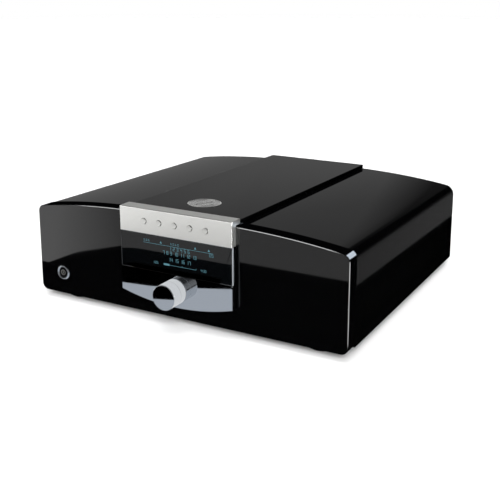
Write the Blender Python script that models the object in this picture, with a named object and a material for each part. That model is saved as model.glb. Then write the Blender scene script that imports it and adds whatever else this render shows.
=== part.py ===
"""Full-width slot-loading disc player with a crowned lacquered case.

Everything is written in case coordinates, in millimetres: X runs to the right as
seen from the front, Y runs from the front panel's face to the rear, and Z is the
height above the underside of the case. One empty carries the whole player to its
place in the world, where the feet stand on Z = 0 and the overall box is centred.
"""
import math

import bmesh
import bpy
from mathutils import Matrix, Vector

MM = 0.001

# ---------------------------------------------------------------- clearances
GAP = 0.3                  # between pieces that seat on each other
SLIP = 0.3                 # round a pin, stem or shaft
SEAM = 0.6                 # shadow line between the front panel and the case

# ---------------------------------------------------------------- case
WIDTH = 450.0
CASE_DEPTH = 400.0
CROWN_TOP = 128.5          # middle of the arched top, at the front
CROWN_DROP = 13.6          # how far the arch falls from the middle to the side
CROWN_POWER = 2.8          # flat in the middle, bending more towards the sides
REAR_FALL = 6.4            # the top is this much lower at the rear
SHELL_WALL = 4.0
SHELL_CORNER = 14.0
PANEL_THICK = 20.0
PANEL_CORNER = 9.0
PANEL_LIP = 2.5            # the front of the panel hangs this far below the case
LIP_THICK = 12.0           # and is this thick there, clear of the feet
PANEL_EDGE = 1.2           # polished chamfer round the front panel
TRAY_THICK = 2.0
TRAY_LIP = 12.0
REAR_THICK = 2.8
REAR_RECESS = 0.5
HALF = WIDTH / 2
INNER_HALF = HALF - SHELL_WALL
REAR_FACE = CASE_DEPTH - REAR_RECESS

# ---------------------------------------------------------------- feet
FOOT_RADIUS = 19.5
FOOT_HEIGHT = 12.0
FOOT_SIDE_INSET = 45.0
FOOT_END_INSET = 32.0
FOOT_EDGE = 2.4

# ---------------------------------------------------------------- top strip
STRIP_WIDTH = 159.4
STRIP_RISE = 5.0
STRIP_EDGE = 0.8
EMBLEM_RADIUS = 22.0
EMBLEM_THICK = 0.9
EMBLEM_POCKET = 1.0
EMBLEM_Y = 60.0

# ---------------------------------------------------------------- fascia
FASCIA_WIDTH = 161.8
FASCIA_PROUD = 9.6
FRAME_FRONT = 5.4          # the frame's face stands this far off the panel
RAIL_RISE = 7.5            # the rail's top above the crown
RAIL_HEIGHT = 31.4
RAIL_FLANGE = 6.2
RAIL_REACH = 9.9           # how far the flange laps over the panel's top
RAIL_ROUND = 1.6
GLASS_STEP = 0.8           # the glass sits this much behind the chrome face
CHROME_TOP = 57.4
CHROME_EDGE = 0.6
SMILE_LOW = 15.5
SMILE_RISE = 11.3
SLOT_WIDTH = 127.0
SLOT_HEIGHT = 5.6
FASCIA_HALF = FASCIA_WIDTH / 2
RAIL_TOP = CROWN_TOP + RAIL_RISE
RAIL_BOTTOM = RAIL_TOP - RAIL_HEIGHT

# ---------------------------------------------------------------- display and board
DISPLAY_WIDTH = 128.0
DISPLAY_BOTTOM = CHROME_TOP + 9.6
DISPLAY_TOP = RAIL_BOTTOM - 4.6
DISPLAY_BACK = 8.0
BOARD_Y = 10.0
BOARD_THICK = 1.6
APERTURE_HALF = 71.0
APERTURE_BOTTOM = 54.0
APERTURE_CLEAR = 0.8       # room above the button collars

# ---------------------------------------------------------------- controls
BUTTON_PITCH = 22.3
BUTTON_RADIUS = 3.5
BUTTON_PROUD = 0.9
BUTTON_TRAVEL = 0.8
BUTTON_COLLAR = 4.2
BUTTON_HEIGHT = RAIL_BOTTOM + RAIL_HEIGHT / 2
APERTURE_TOP = BUTTON_HEIGHT + BUTTON_COLLAR + APERTURE_CLEAR
BUTTON_NAMES = ("previous_button", "stop_button", "play_button", "pause_button", "next_button")
KNOB_RADIUS = 15.9
KNOB_LENGTH = 25.5
KNOB_HEIGHT = 36.8
KNOB_LIFT = 0.4            # gap between the knob and the chrome plate
KNOB_EDGE = 0.7
SHAFT_RADIUS = 3.0
BUSH_RADIUS = 4.5
ENCODER_HALF = 7.5
ENCODER_CLEAR = 1.5        # room round the encoder in the panel
SHAFT_TAIL = 6.0           # the shaft ends this far inside the encoder
KNOB_FLOOR = 6.0           # solid metal between the knob's face and its bore
KNOB_SKIRT = 3.0
POWER_INSET = 38.3
POWER_HEIGHT = 26.9
POWER_RADIUS = 6.6
POWER_RING = 10.2
POWER_PROUD = 1.4
POWER_TRAVEL = 1.5
POWER_STEM = 2.4
POWER_CAP = 6.0            # the cap runs this far behind the panel's face
SWITCH_HALF = 8.0
SWITCH_DEPTH = 16.0

# ---------------------------------------------------------------- slot drive
DRIVE_HALF = 73.0
DRIVE_FRONT = PANEL_THICK + 2.0
DRIVE_BOTTOM = 34.0
DRIVE_TOP = 72.0
DRIVE_WALL = 1.5
COVER_THICK = 1.5
SPINDLE_BACK = 75.0        # spindle axis behind the drive's front wall
MOTOR_RADIUS = 13.0
PLATTER_RADIUS = 15.0
DISC_SEAT = 59.4
HUB_RADIUS = 7.2
CLAMP_RADIUS = 14.0
CLAMP_TRAVEL = 2.2
ROLLER_RADIUS = 4.0
ROLLER_HALF = 58.0
ROLLER_HEIGHT = 53.8
ROLLER_BACK = 10.5
GEAR_MODULE = 1.0
ROLLER_TEETH = 14
PINION_TEETH = 10
GEAR_START = 65.0
GEAR_WIDTH = 4.0
SLED_HEIGHT = 43.5
SLED_FRONT = 14.5          # sled's front edge behind the spindle axis
SLED_LENGTH = 22.0
SLED_TRAVEL = 34.0
SLED_CLEAR = 8.5           # room behind the sled at the end of its travel
SLED_HALF_HEIGHT = 3.5
ROD_SPACING = 26.0
ROD_RADIUS = 1.5
SCREW_X = 27.0
SCREW_RADIUS = 1.6
SCREW_PITCH = 3.0
SPINDLE_Y = DRIVE_FRONT + SPINDLE_BACK
DRIVE_LENGTH = SPINDLE_BACK + SLED_FRONT + SLED_LENGTH + SLED_TRAVEL + SLED_CLEAR
DRIVE_REAR = DRIVE_FRONT + DRIVE_LENGTH
ROLLER_Y = DRIVE_FRONT + ROLLER_BACK

# ---------------------------------------------------------------- electronics
PCB_HEIGHT = 14.0
PCB_THICK = 1.6
PCB_LEG = 3.0
PCB_MARGIN = 9.0
PCB_LEG_INSET = 6.0
MAIN_BOARD_FRONT = 60.0
MAIN_BOARD_REAR = 22.0     # ends this far in front of the rear panel
POWER_BOARD_FRONT = 50.0
DRIVE_CLEAR = 15.0
TOROID_RADIUS = 58.0
TOROID_HOLE = 16.0
TOROID_HEIGHT = 49.0
TOROID_EDGE = 6.0
TOROID_SIDE = 18.0         # between the windings and the case wall
TOROID_REAR = 115.0        # its axis in front of the rear
TOROID_FRONT = 12.0        # between the windings and the power board
CAPACITOR_RADIUS = 17.5
CAPACITOR_HEIGHT = 50.0
CAPACITOR_Y = 82.0
CAPACITOR_INSET = 30.0
SINK_DEPTH = 30.0
SINK_HEIGHT = 55.0
SINK_FINS = 9
SINK_INSET = 14.0
FIN_THICK = 3.0
SINK_BASE = 5.0

# ---------------------------------------------------------------- rear sockets
SOCKET_REACH = 9.5         # phono barrels stand this far behind the case
SOCKET_ROW = 62.0
PHONO_RADIUS = 4.15
PHONO_SPACING = 26.0
XLR_RADIUS = 11.2
XLR_CAVITY = 9.2
XLR_INSETS = (40.0, 78.0)
XLR_HALF_WIDTH = 13.0
XLR_HALF_HEIGHT = 15.5
XLR_FLANGE = 2.0
XLR_DEPTH = 15.0
PIN_CIRCLE = 4.6
PIN_RADIUS = 1.2
PIN_LENGTH = 9.0
PHONO_INSET = 118.0
DIGITAL_INSET = 150.0
NETWORK_INSET = 182.0
NETWORK_HALF_WIDTH = 8.2
NETWORK_HALF_HEIGHT = 7.2
NETWORK_WALL = 2.3
NETWORK_LENGTH = 20.0
PORT_DEPTH = 12.0
INLET_INSET = 75.0
INLET_WIDTH = 64.0
INLET_HEIGHT = 30.0
INLET_ROW = 50.0
INLET_LIP = 2.0             # the flange overlaps the body by this much
INLET_FLANGE = 2.4
INLET_DEPTH = 24.0
WELL_X = -13.0             # the blade well and the rocker, from the middle of the inlet
ROCKER_X = 21.0
WELL_HALF_WIDTH = 12.0
WELL_HALF_HEIGHT = 8.0
WELL_BEVEL = 4.0
WELL_DEPTH = 18.0
ROCKER_ROOM = 14.0
ROCKER_HALF_WIDTH = 6.6
ROCKER_HALF_HEIGHT = 10.2
ROCKER_TILT = 6.0

# The overall box runs from the knob's face to the phono barrels' ends.
FRONT_REACH = FASCIA_PROUD + KNOB_LIFT + KNOB_LENGTH
FRONT_FACE_Y = (FRONT_REACH - CASE_DEPTH - SOCKET_REACH) / 2


# ---------------------------------------------------------------- small tools
def clear_scene():
    for thing in list(bpy.data.objects):
        bpy.data.objects.remove(thing, do_unlink=True)


def linear(channel):
    return channel / 12.92 if channel <= 0.04045 else ((channel + 0.055) / 1.055) ** 2.4


def material(name, colour, roughness, metallic):
    """A plain finish: colour is an sRGB hex number."""
    made = bpy.data.materials.new(name)
    made.use_nodes = True
    shader = made.node_tree.nodes["Principled BSDF"]
    channels = [linear((colour >> shift & 255) / 255) for shift in (16, 8, 0)]
    shader.inputs["Base Color"].default_value = (*channels, 1.0)
    shader.inputs["Roughness"].default_value = roughness
    shader.inputs["Metallic"].default_value = metallic
    made.diffuse_color = (*channels, 1.0)
    return made


def finish_mesh(name, shape, finish, origin):
    """Closes a bmesh into an object whose own origin is at the given point."""
    bmesh.ops.recalc_face_normals(shape, faces=shape.faces)
    bmesh.ops.translate(shape, verts=shape.verts, vec=-Vector(origin))
    bmesh.ops.scale(shape, verts=shape.verts, vec=(MM, MM, MM))
    mesh = bpy.data.meshes.new(name)
    shape.to_mesh(mesh)
    shape.free()
    mesh.shade_smooth()
    mesh.set_sharp_from_angle(angle=math.radians(30))
    mesh.materials.append(finish)
    made = bpy.data.objects.new(name, mesh)
    made.location = Vector(origin) * MM
    made.parent = PLAYER
    bpy.context.collection.objects.link(made)
    return made


def loft(name, loops, finish, origin=(0, 0, 0)):
    """Closed skin through loops that have the same number of points, capped at both ends."""
    shape = bmesh.new()
    rings = [[shape.verts.new(point) for point in loop] for loop in loops]
    for near, far in zip(rings, rings[1:]):
        for i in range(len(near)):
            j = (i + 1) % len(near)
            shape.faces.new((near[i], near[j], far[j], far[i]))
    shape.faces.new(rings[0])
    shape.faces.new(rings[-1])
    return finish_mesh(name, shape, finish, origin)


def spread(outline, axis, level):
    """Puts a flat outline at a level along X, Y or Z."""
    if axis == "X":
        return [(level, u, v) for u, v in outline]
    if axis == "Y":
        return [(u, level, v) for u, v in outline]
    return [(u, v, level) for u, v in outline]


def prism(name, outline, axis, start, end, finish, origin=(0, 0, 0)):
    loops = [spread(outline, axis, start), spread(outline, axis, end)]
    return loft(name, loops, finish, origin)


def block(name, low, high, finish, origin=(0, 0, 0)):
    outline = [(low[0], low[1]), (high[0], low[1]), (high[0], high[1]), (low[0], high[1])]
    return prism(name, outline, "Z", low[2], high[2], finish, origin)


def turned(name, profile, axis, centre, finish, steps=32):
    """Turns a profile of (radius, place along the axis) points, listed from one end to the other."""
    shape = bmesh.new()
    points = [shape.verts.new((radius, 0, level)) for radius, level in profile]
    edges = [shape.edges.new(pair) for pair in zip(points, points[1:])]
    if profile[0][0] > 0:
        edges.append(shape.edges.new((points[-1], points[0])))
    bmesh.ops.spin(
        shape, geom=points + edges, cent=(0, 0, 0), axis=(0, 0, 1),
        angle=2 * math.pi, steps=steps, use_merge=True,
    )
    bmesh.ops.remove_doubles(shape, verts=shape.verts, dist=1e-4)
    if axis == "X":
        turn = Matrix.Rotation(math.pi / 2, 3, "Y")
    elif axis == "Y":
        turn = Matrix.Rotation(-math.pi / 2, 3, "X")
    else:
        turn = Matrix.Identity(3)
    bmesh.ops.transform(shape, matrix=turn.to_4x4(), verts=shape.verts)
    bmesh.ops.translate(shape, verts=shape.verts, vec=centre)
    return finish_mesh(name, shape, finish, centre)


def round_bar(radius, start, end):
    return [(0, start), (radius, start), (radius, end), (0, end)]


def combine(target, tool, operation):
    """Cuts a hidden tool out of the target, or joins it on."""
    tool.hide_render = True
    tool.display_type = "WIRE"
    step = target.modifiers.new(tool.name, "BOOLEAN")
    step.operation = operation
    step.object = tool
    step.solver = "EXACT"


def cut(target, *tools):
    for tool in tools:
        combine(target, tool, "DIFFERENCE")


def join(target, *tools):
    for tool in tools:
        combine(target, tool, "UNION")


def arc(centre, radius, start, end, steps):
    """Points along an arc, with angles in degrees."""
    angles = [math.radians(start + (end - start) * i / steps) for i in range(steps + 1)]
    return [(centre[0] + radius * math.cos(a), centre[1] + radius * math.sin(a)) for a in angles]


def round_corner(before, corner, after, radius, steps):
    """Replaces a corner between two straight runs by an arc that touches both."""
    corner = Vector(corner)
    to_before = (Vector(before) - corner).normalized()
    to_after = (Vector(after) - corner).normalized()
    half_angle = to_before.angle(to_after) / 2
    centre = corner + (to_before + to_after).normalized() * radius / math.sin(half_angle)
    reach = radius / math.tan(half_angle)
    first = corner + to_before * reach - centre
    last = corner + to_after * reach - centre
    sweep = first.angle_signed(last)
    points = []
    for i in range(steps + 1):
        spoke = first.copy()
        spoke.rotate(Matrix.Rotation(-sweep * i / steps, 2))
        points.append(tuple(centre + spoke))
    return points


# ---------------------------------------------------------------- case
def top_height(x, y):
    """Height of the arched case top. The arch is level along the thick front panel."""
    behind = max(0.0, y - PANEL_THICK) / (CASE_DEPTH - PANEL_THICK)
    return CROWN_TOP - REAR_FALL * behind - CROWN_DROP * abs(x / HALF) ** CROWN_POWER


def crown_points(half, y, drop, steps=22):
    """The arched top from left to right, kept clear of the corner arcs."""
    xs = [half * (2 * i / steps - 1) for i in range(steps + 1)]
    return [(x, top_height(x, y) - drop) for x in xs]


def arched_top(half, y, drop, corner):
    """Left corner, arch and right corner, from left to right."""
    arch = crown_points(half - corner * 1.2, y, drop)
    edge = top_height(half, y) - drop
    left = round_corner((-half, 0), (-half, edge), arch[0], corner, 6)
    right = round_corner(arch[-1], (half, edge), (half, 0), corner, 6)
    return left + arch[1:-1] + right


def panel_outline(inset):
    half = HALF - inset
    low = inset - PANEL_LIP
    corner = PANEL_CORNER - inset
    top = arched_top(half, 0, inset, corner)
    bottom_right = round_corner((half, 50), (half, low), (0, low), corner, 6)
    bottom_left = round_corner((0, low), (-half, low), (-half, 50), corner, 6)
    return top + bottom_right + bottom_left


def make_front_panel(finish):
    loops = [
        spread(panel_outline(PANEL_EDGE), "Y", 0),
        spread(panel_outline(0), "Y", PANEL_EDGE),
        spread(panel_outline(0), "Y", PANEL_THICK),
    ]
    panel = loft("front_panel", loops, finish)
    window = block(
        "cut_window", (-APERTURE_HALF, -1, APERTURE_BOTTOM),
        (APERTURE_HALF, PANEL_THICK + 1, APERTURE_TOP), finish,
    )
    pocket = ENCODER_HALF + ENCODER_CLEAR
    encoder_hole = block(
        "cut_encoder", (-pocket, -1, KNOB_HEIGHT - pocket),
        (pocket, PANEL_THICK + 1, KNOB_HEIGHT + pocket), finish,
    )
    power_x = POWER_INSET - HALF
    bore = turned(
        "cut_power_bore", round_bar(POWER_RADIUS + 2 * SLIP, -1, PANEL_THICK + 1),
        "Y", (power_x, 0, POWER_HEIGHT), finish,
    )
    seat = turned(
        "cut_power_seat", round_bar(POWER_RING + SLIP, -1, POWER_PROUD + GAP),
        "Y", (power_x, 0, POWER_HEIGHT), finish, 40,
    )
    behind_lip = block(
        "cut_behind_lip", (-HALF - 1, LIP_THICK, -PANEL_LIP - 1), (HALF + 1, PANEL_THICK + 1, 0), finish,
    )
    cut(panel, window, encoder_hole, bore, seat, behind_lip)


def make_case_shell(finish):
    """Two sides and the arched top in one folded wall, open in front, behind and below."""
    def wall(y):
        outer = arched_top(HALF, y, 0, SHELL_CORNER)
        inner = arched_top(INNER_HALF, y, SHELL_WALL, SHELL_CORNER - SHELL_WALL)
        section = [(-HALF, 0)] + outer + [(HALF, 0), (INNER_HALF, 0)]
        section += inner[::-1] + [(-INNER_HALF, 0)]
        return spread(section, "Y", y)

    loft("case_shell", [wall(PANEL_THICK + SEAM), wall(CASE_DEPTH)], finish)


def make_base_tray(finish):
    half = INNER_HALF - GAP
    front = PANEL_THICK + SEAM
    rear = REAR_FACE - REAR_THICK - GAP
    tray = block("base_tray", (-half, front, 0), (half, rear, TRAY_LIP), finish)
    hollow = block(
        "cut_tray", (-half + TRAY_THICK, front + TRAY_THICK, TRAY_THICK),
        (half - TRAY_THICK, rear - TRAY_THICK, TRAY_LIP + 1), finish,
    )
    cut(tray, hollow)


def make_rear_panel(finish):
    half = INNER_HALF - GAP
    drop = SHELL_WALL + GAP
    top = arched_top(half, CASE_DEPTH, drop, SHELL_CORNER - SHELL_WALL)
    outline = [(-half, 0)] + top + [(half, 0)]
    panel = prism("rear_panel", outline, "Y", REAR_FACE - REAR_THICK, REAR_FACE, finish)
    holes = []
    for place in PHONO_PLACES.values():
        bar = round_bar(PHONO_RADIUS + 0.7, -REAR_THICK - 1, 1)
        holes.append(turned("cut_phono", bar, "Y", (place[0], REAR_FACE, place[1]), finish, 24))
    for inset in XLR_INSETS:
        bar = round_bar(XLR_RADIUS + SLIP, -REAR_THICK - 1, 1)
        place = (HALF - inset, REAR_FACE, SOCKET_ROW)
        holes.append(turned("cut_xlr", bar, "Y", place, finish))
    port = NETWORK_BODY
    for low_x, high_x, low_z, high_z in (port, INLET_BODY):
        low = (low_x - GAP, REAR_FACE - REAR_THICK - 1, low_z - GAP)
        holes.append(block("cut_port", low, (high_x + GAP, REAR_FACE + 1, high_z + GAP), finish))
    cut(panel, *holes)


def make_feet(finish):
    x_place = HALF - FOOT_SIDE_INSET
    y_places = {"front": FOOT_END_INSET, "rear": CASE_DEPTH - FOOT_END_INSET}
    profile = [
        (0, -FOOT_HEIGHT), (FOOT_RADIUS - FOOT_EDGE, -FOOT_HEIGHT),
        (FOOT_RADIUS - FOOT_EDGE / 4, -FOOT_HEIGHT + FOOT_EDGE / 3),
        (FOOT_RADIUS, -FOOT_HEIGHT + FOOT_EDGE), (FOOT_RADIUS, -GAP), (0, -GAP),
    ]
    for end, y in y_places.items():
        for side, x in (("left", -x_place), ("right", x_place)):
            turned(f"foot_{end}_{side}", profile, "Z", (x, y, 0), finish, 36)


def strip_top(y):
    return top_height(0, y) + STRIP_RISE


def make_top_strip(finish, emblem_finish):
    """The raised lid strip: flat above, fitted to the arch below, with an inlaid emblem."""
    half = STRIP_WIDTH / 2

    def section(y):
        top = strip_top(y)
        under = crown_points(half, y, -GAP, 12)[::-1]
        over = [
            (-half, top - STRIP_EDGE), (-half + STRIP_EDGE, top),
            (half - STRIP_EDGE, top), (half, top - STRIP_EDGE),
        ]
        return spread(under + over, "Y", y)

    start = RAIL_REACH + GAP + 0.2
    strip = loft("top_strip_cover", [section(y) for y in (start, PANEL_THICK, CASE_DEPTH)], finish)
    slope = math.atan2(strip_top(CASE_DEPTH) - strip_top(PANEL_THICK), CASE_DEPTH - PANEL_THICK)
    centre = (0, EMBLEM_Y, strip_top(EMBLEM_Y))
    pocket = turned(
        "cut_emblem", round_bar(EMBLEM_RADIUS + SLIP, -EMBLEM_POCKET, 3), "Z", centre, finish, 48,
    )
    floor = -EMBLEM_POCKET + GAP
    emblem = turned(
        "top_emblem", round_bar(EMBLEM_RADIUS, floor, floor + EMBLEM_THICK),
        "Z", centre, emblem_finish, 48,
    )
    for piece in (pocket, emblem):
        piece.rotation_euler.x = slope
    cut(strip, pocket)


# ---------------------------------------------------------------- fascia
def smile(inset, steps=14):
    """The bottom of the fascia from right to left: an arc, low in the middle."""
    half = FASCIA_HALF - inset
    radius = (FASCIA_HALF ** 2 + SMILE_RISE ** 2) / (2 * SMILE_RISE)
    xs = [half * (1 - 2 * i / steps) for i in range(steps + 1)]
    middle = SMILE_LOW + radius
    return [(x, middle - math.sqrt((radius - inset) ** 2 - x * x)) for x in xs]


def make_fascia_frame(finish):
    top = RAIL_BOTTOM - GAP
    outline = [(-FASCIA_HALF, top), (FASCIA_HALF, top)] + smile(0)
    frame = prism("fascia_frame", outline, "Y", -FRAME_FRONT, -GAP, finish)
    margin = 1.5
    window = block(
        "cut_display", (-DISPLAY_WIDTH / 2 - margin, -FRAME_FRONT - 1, DISPLAY_BOTTOM - margin),
        (DISPLAY_WIDTH / 2 + margin, 1, DISPLAY_TOP + margin), finish,
    )
    slot = block(
        "cut_disc_slot", (-SLOT_WIDTH / 2, -FRAME_FRONT - 1, CHROME_TOP - GAP),
        (SLOT_WIDTH / 2, 1, CHROME_TOP + GAP + SLOT_HEIGHT), finish,
    )
    bush = turned(
        "cut_bush", round_bar(BUSH_RADIUS + SLIP, -FRAME_FRONT - 1, 1),
        "Y", (0, 0, KNOB_HEIGHT), finish,
    )
    cut(frame, window, slot, bush)


def make_display_glass(finish):
    """Smoked glass over the display, notched at its foot to leave the disc slot."""
    top = RAIL_BOTTOM - GAP
    foot = CHROME_TOP + GAP
    half_slot = SLOT_WIDTH / 2
    outline = [
        (-FASCIA_HALF, top), (FASCIA_HALF, top), (FASCIA_HALF, foot), (half_slot, foot),
        (half_slot, foot + SLOT_HEIGHT), (-half_slot, foot + SLOT_HEIGHT),
        (-half_slot, foot), (-FASCIA_HALF, foot),
    ]
    front = -FASCIA_PROUD + GLASS_STEP
    prism("display_glass", outline, "Y", front, -FRAME_FRONT - GAP, finish)


def make_chrome_plate(finish):
    def outline(inset, y):
        half = FASCIA_HALF - inset
        top = CHROME_TOP - inset
        return spread([(-half, top), (half, top)] + smile(inset), "Y", y)

    front = -FASCIA_PROUD
    loops = [
        outline(CHROME_EDGE, front), outline(0, front + CHROME_EDGE),
        outline(0, -FRAME_FRONT - GAP),
    ]
    plate = loft("chrome_plate", loops, finish)
    hole = turned(
        "cut_plate_bush", round_bar(BUSH_RADIUS + SLIP, -FASCIA_PROUD - 1, 0),
        "Y", (0, 0, KNOB_HEIGHT), finish,
    )
    cut(plate, hole)


def button_places():
    middle = (len(BUTTON_NAMES) - 1) / 2
    return {
        name: (BUTTON_PITCH * (i - middle), -FASCIA_PROUD, BUTTON_HEIGHT)
        for i, name in enumerate(BUTTON_NAMES)
    }


def make_fascia_rail(finish):
    """Satin L-section above the glass, which laps over the panel's top edge."""
    front = -FASCIA_PROUD
    inside = RAIL_TOP - RAIL_FLANGE
    section = [(front, RAIL_BOTTOM)]
    section += arc((front + RAIL_ROUND, RAIL_TOP - RAIL_ROUND), RAIL_ROUND, 180, 90, 4)
    section += [(RAIL_REACH, RAIL_TOP), (RAIL_REACH, inside), (-GAP, inside), (-GAP, RAIL_BOTTOM)]
    rail = prism("fascia_rail", section, "X", -FASCIA_HALF, FASCIA_HALF, finish)
    for name, place in button_places().items():
        hole = round_bar(BUTTON_RADIUS + SLIP, -1, FASCIA_PROUD + 1)
        cut(rail, turned(f"cut_{name}", hole, "Y", place, finish, 24))


def make_buttons(finish):
    """Each button is a cap, a collar that keeps it behind the rail and a stem to its switch."""
    collar = FASCIA_PROUD + 0.2
    stem_end = FASCIA_PROUD + BOARD_Y - BUTTON_TRAVEL - GAP
    profile = [
        (0, -BUTTON_PROUD), (BUTTON_RADIUS - 0.4, -BUTTON_PROUD), (BUTTON_RADIUS, -BUTTON_PROUD + 0.4),
        (BUTTON_RADIUS, collar), (BUTTON_COLLAR, collar), (BUTTON_COLLAR, collar + 1),
        (1.4, collar + 1), (1.4, stem_end), (0, stem_end),
    ]
    for name, place in button_places().items():
        turned(name, profile, "Y", place, finish, 18)


def make_display(display_finish, board_finish):
    block(
        "display_module", (-DISPLAY_WIDTH / 2, -FRAME_FRONT + GAP, DISPLAY_BOTTOM),
        (DISPLAY_WIDTH / 2, DISPLAY_BACK, DISPLAY_TOP), display_finish,
    )
    block(
        "control_board", (-APERTURE_HALF + 3, BOARD_Y, DISPLAY_BOTTOM - 2),
        (APERTURE_HALF - 3, BOARD_Y + BOARD_THICK, APERTURE_TOP - 1), board_finish,
    )


def make_knob(knob_finish, shaft_finish, encoder_finish):
    centre = (0, -FASCIA_PROUD, KNOB_HEIGHT)
    root = -KNOB_LIFT
    face = root - KNOB_LENGTH
    bore = SHAFT_RADIUS + SLIP
    bore_end = face + KNOB_FLOOR
    profile = [
        (0, face), (KNOB_RADIUS - KNOB_EDGE, face), (KNOB_RADIUS, face + KNOB_EDGE),
        (KNOB_RADIUS, root), (KNOB_RADIUS - KNOB_SKIRT, root), (KNOB_RADIUS - KNOB_SKIRT, root - KNOB_SKIRT),
        (bore, root - KNOB_SKIRT), (bore, bore_end), (0, bore_end),
    ]
    turned("knob", profile, "Y", centre, knob_finish, 48)
    shaft_end = FASCIA_PROUD + SHAFT_TAIL
    shaft = round_bar(SHAFT_RADIUS, bore_end + GAP, shaft_end)
    turned("encoder_shaft", shaft, "Y", centre, shaft_finish, 20)
    body = block(
        "encoder_body", (-ENCODER_HALF, 0, KNOB_HEIGHT - ENCODER_HALF),
        (ENCODER_HALF, DISPLAY_BACK, KNOB_HEIGHT + ENCODER_HALF), encoder_finish,
    )
    bush = turned(
        "join_bush", round_bar(BUSH_RADIUS, 0.6, FASCIA_PROUD + 1), "Y", centre, encoder_finish,
    )
    hole = round_bar(bore, -1, shaft_end + GAP)
    join(body, bush)
    cut(body, turned("cut_shaft", hole, "Y", centre, encoder_finish, 20))


def make_power_button(ring_finish, button_finish, switch_finish):
    centre = (POWER_INSET - HALF, 0, POWER_HEIGHT)
    ring = [
        (POWER_RADIUS + SLIP, -POWER_PROUD), (POWER_RING - 0.8, -POWER_PROUD),
        (POWER_RING, -POWER_PROUD + 0.8), (POWER_RING, POWER_PROUD), (POWER_RADIUS + SLIP, POWER_PROUD),
    ]
    turned("power_button_ring", ring, "Y", centre, ring_finish, 32)
    stem = POWER_STEM
    stem_end = PANEL_THICK + SEAM + 2
    button = [
        (0, -POWER_PROUD + 0.5), (POWER_RADIUS - 0.5, -POWER_PROUD + 0.5),
        (POWER_RADIUS, -POWER_PROUD + 1), (POWER_RADIUS, POWER_CAP), (stem, POWER_CAP), (stem, stem_end), (0, stem_end),
    ]
    turned("power_button", button, "Y", centre, button_finish, 24)
    front = PANEL_THICK + SEAM
    low = (centre[0] - SWITCH_HALF, front + TRAY_THICK + GAP, POWER_HEIGHT - SWITCH_HALF)
    high = (centre[0] + SWITCH_HALF, front + SWITCH_DEPTH, POWER_HEIGHT + SWITCH_HALF)
    switch = block("power_switch", low, high, switch_finish)
    nose = turned(
        "join_switch_nose", round_bar(stem + 2, 0.3, TRAY_THICK + 1), "Y",
        (centre[0], front, POWER_HEIGHT), switch_finish, 20,
    )
    stem_hole = round_bar(stem + SLIP, -1, stem_end - front + POWER_TRAVEL + GAP)
    join(switch, nose)
    cut(switch, turned(
        "cut_switch", stem_hole, "Y", (centre[0], front, POWER_HEIGHT), switch_finish, 20,
    ))


# ---------------------------------------------------------------- slot drive
def gear_outline(centre, teeth, phase):
    """Straight-flanked teeth with backlash. phase is the angle of one tooth, in degrees."""
    pitch_radius = GEAR_MODULE * teeth / 2
    tip = pitch_radius + 0.75 * GEAR_MODULE
    root = pitch_radius - 1.1 * GEAR_MODULE
    step = 360 / teeth
    corners = ((root, -0.27), (tip, -0.11), (tip, 0.11), (root, 0.27))
    points = []
    for tooth in range(teeth):
        for radius, share in corners:
            angle = math.radians(phase + step * (tooth + share))
            points.append((centre[0] + radius * math.cos(angle), centre[1] + radius * math.sin(angle)))
    return points


def make_drive_frame(chassis_finish, cover_finish):
    chassis = block(
        "drive_chassis", (-DRIVE_HALF, DRIVE_FRONT, DRIVE_BOTTOM),
        (DRIVE_HALF, DRIVE_REAR, DRIVE_TOP), chassis_finish,
    )
    wall = DRIVE_WALL
    hollow = block(
        "cut_drive", (-DRIVE_HALF + wall, DRIVE_FRONT + wall, DRIVE_BOTTOM + wall),
        (DRIVE_HALF - wall, DRIVE_REAR - wall, DRIVE_TOP + 1), chassis_finish,
    )
    slot = block(
        "cut_drive_slot", (-SLOT_WIDTH / 2, DRIVE_FRONT - 1, CHROME_TOP - GAP),
        (SLOT_WIDTH / 2, DRIVE_FRONT + wall + 1, CHROME_TOP + GAP + SLOT_HEIGHT), chassis_finish,
    )
    cut(chassis, hollow, slot)
    for side in (-1, 1):
        for y in (DRIVE_FRONT + 6, DRIVE_REAR - 6):
            x = side * (DRIVE_HALF - 6)
            leg = block(
                "join_leg", (x - 4, y - 4, TRAY_THICK + GAP), (x + 4, y + 4, DRIVE_BOTTOM + 1),
                chassis_finish,
            )
            join(chassis, leg)
        rod_x = side * ROD_SPACING / 2
        post = block(
            "join_post", (rod_x - 3, SPINDLE_Y + 11, DRIVE_BOTTOM + 1),
            (rod_x + 3, SPINDLE_Y + SLED_FRONT - 1, SLED_HEIGHT + SLED_HALF_HEIGHT), chassis_finish,
        )
        join(chassis, post)
        seat = round_bar(ROD_RADIUS + SLIP, SPINDLE_Y + 10, SPINDLE_Y + SLED_FRONT)
        cut(chassis, turned("cut_rod", seat, "Y", (rod_x, 0, SLED_HEIGHT), chassis_finish, 16))
    low = (-DRIVE_HALF, DRIVE_FRONT, DRIVE_TOP + GAP)
    cover = block("drive_cover", low, (DRIVE_HALF, DRIVE_REAR, low[2] + COVER_THICK), cover_finish)
    hole = round_bar(4.6, DRIVE_TOP - 1, DRIVE_TOP + 5)
    cut(cover, turned("cut_cover", hole, "Z", (0, SPINDLE_Y, 0), cover_finish, 24))


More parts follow.
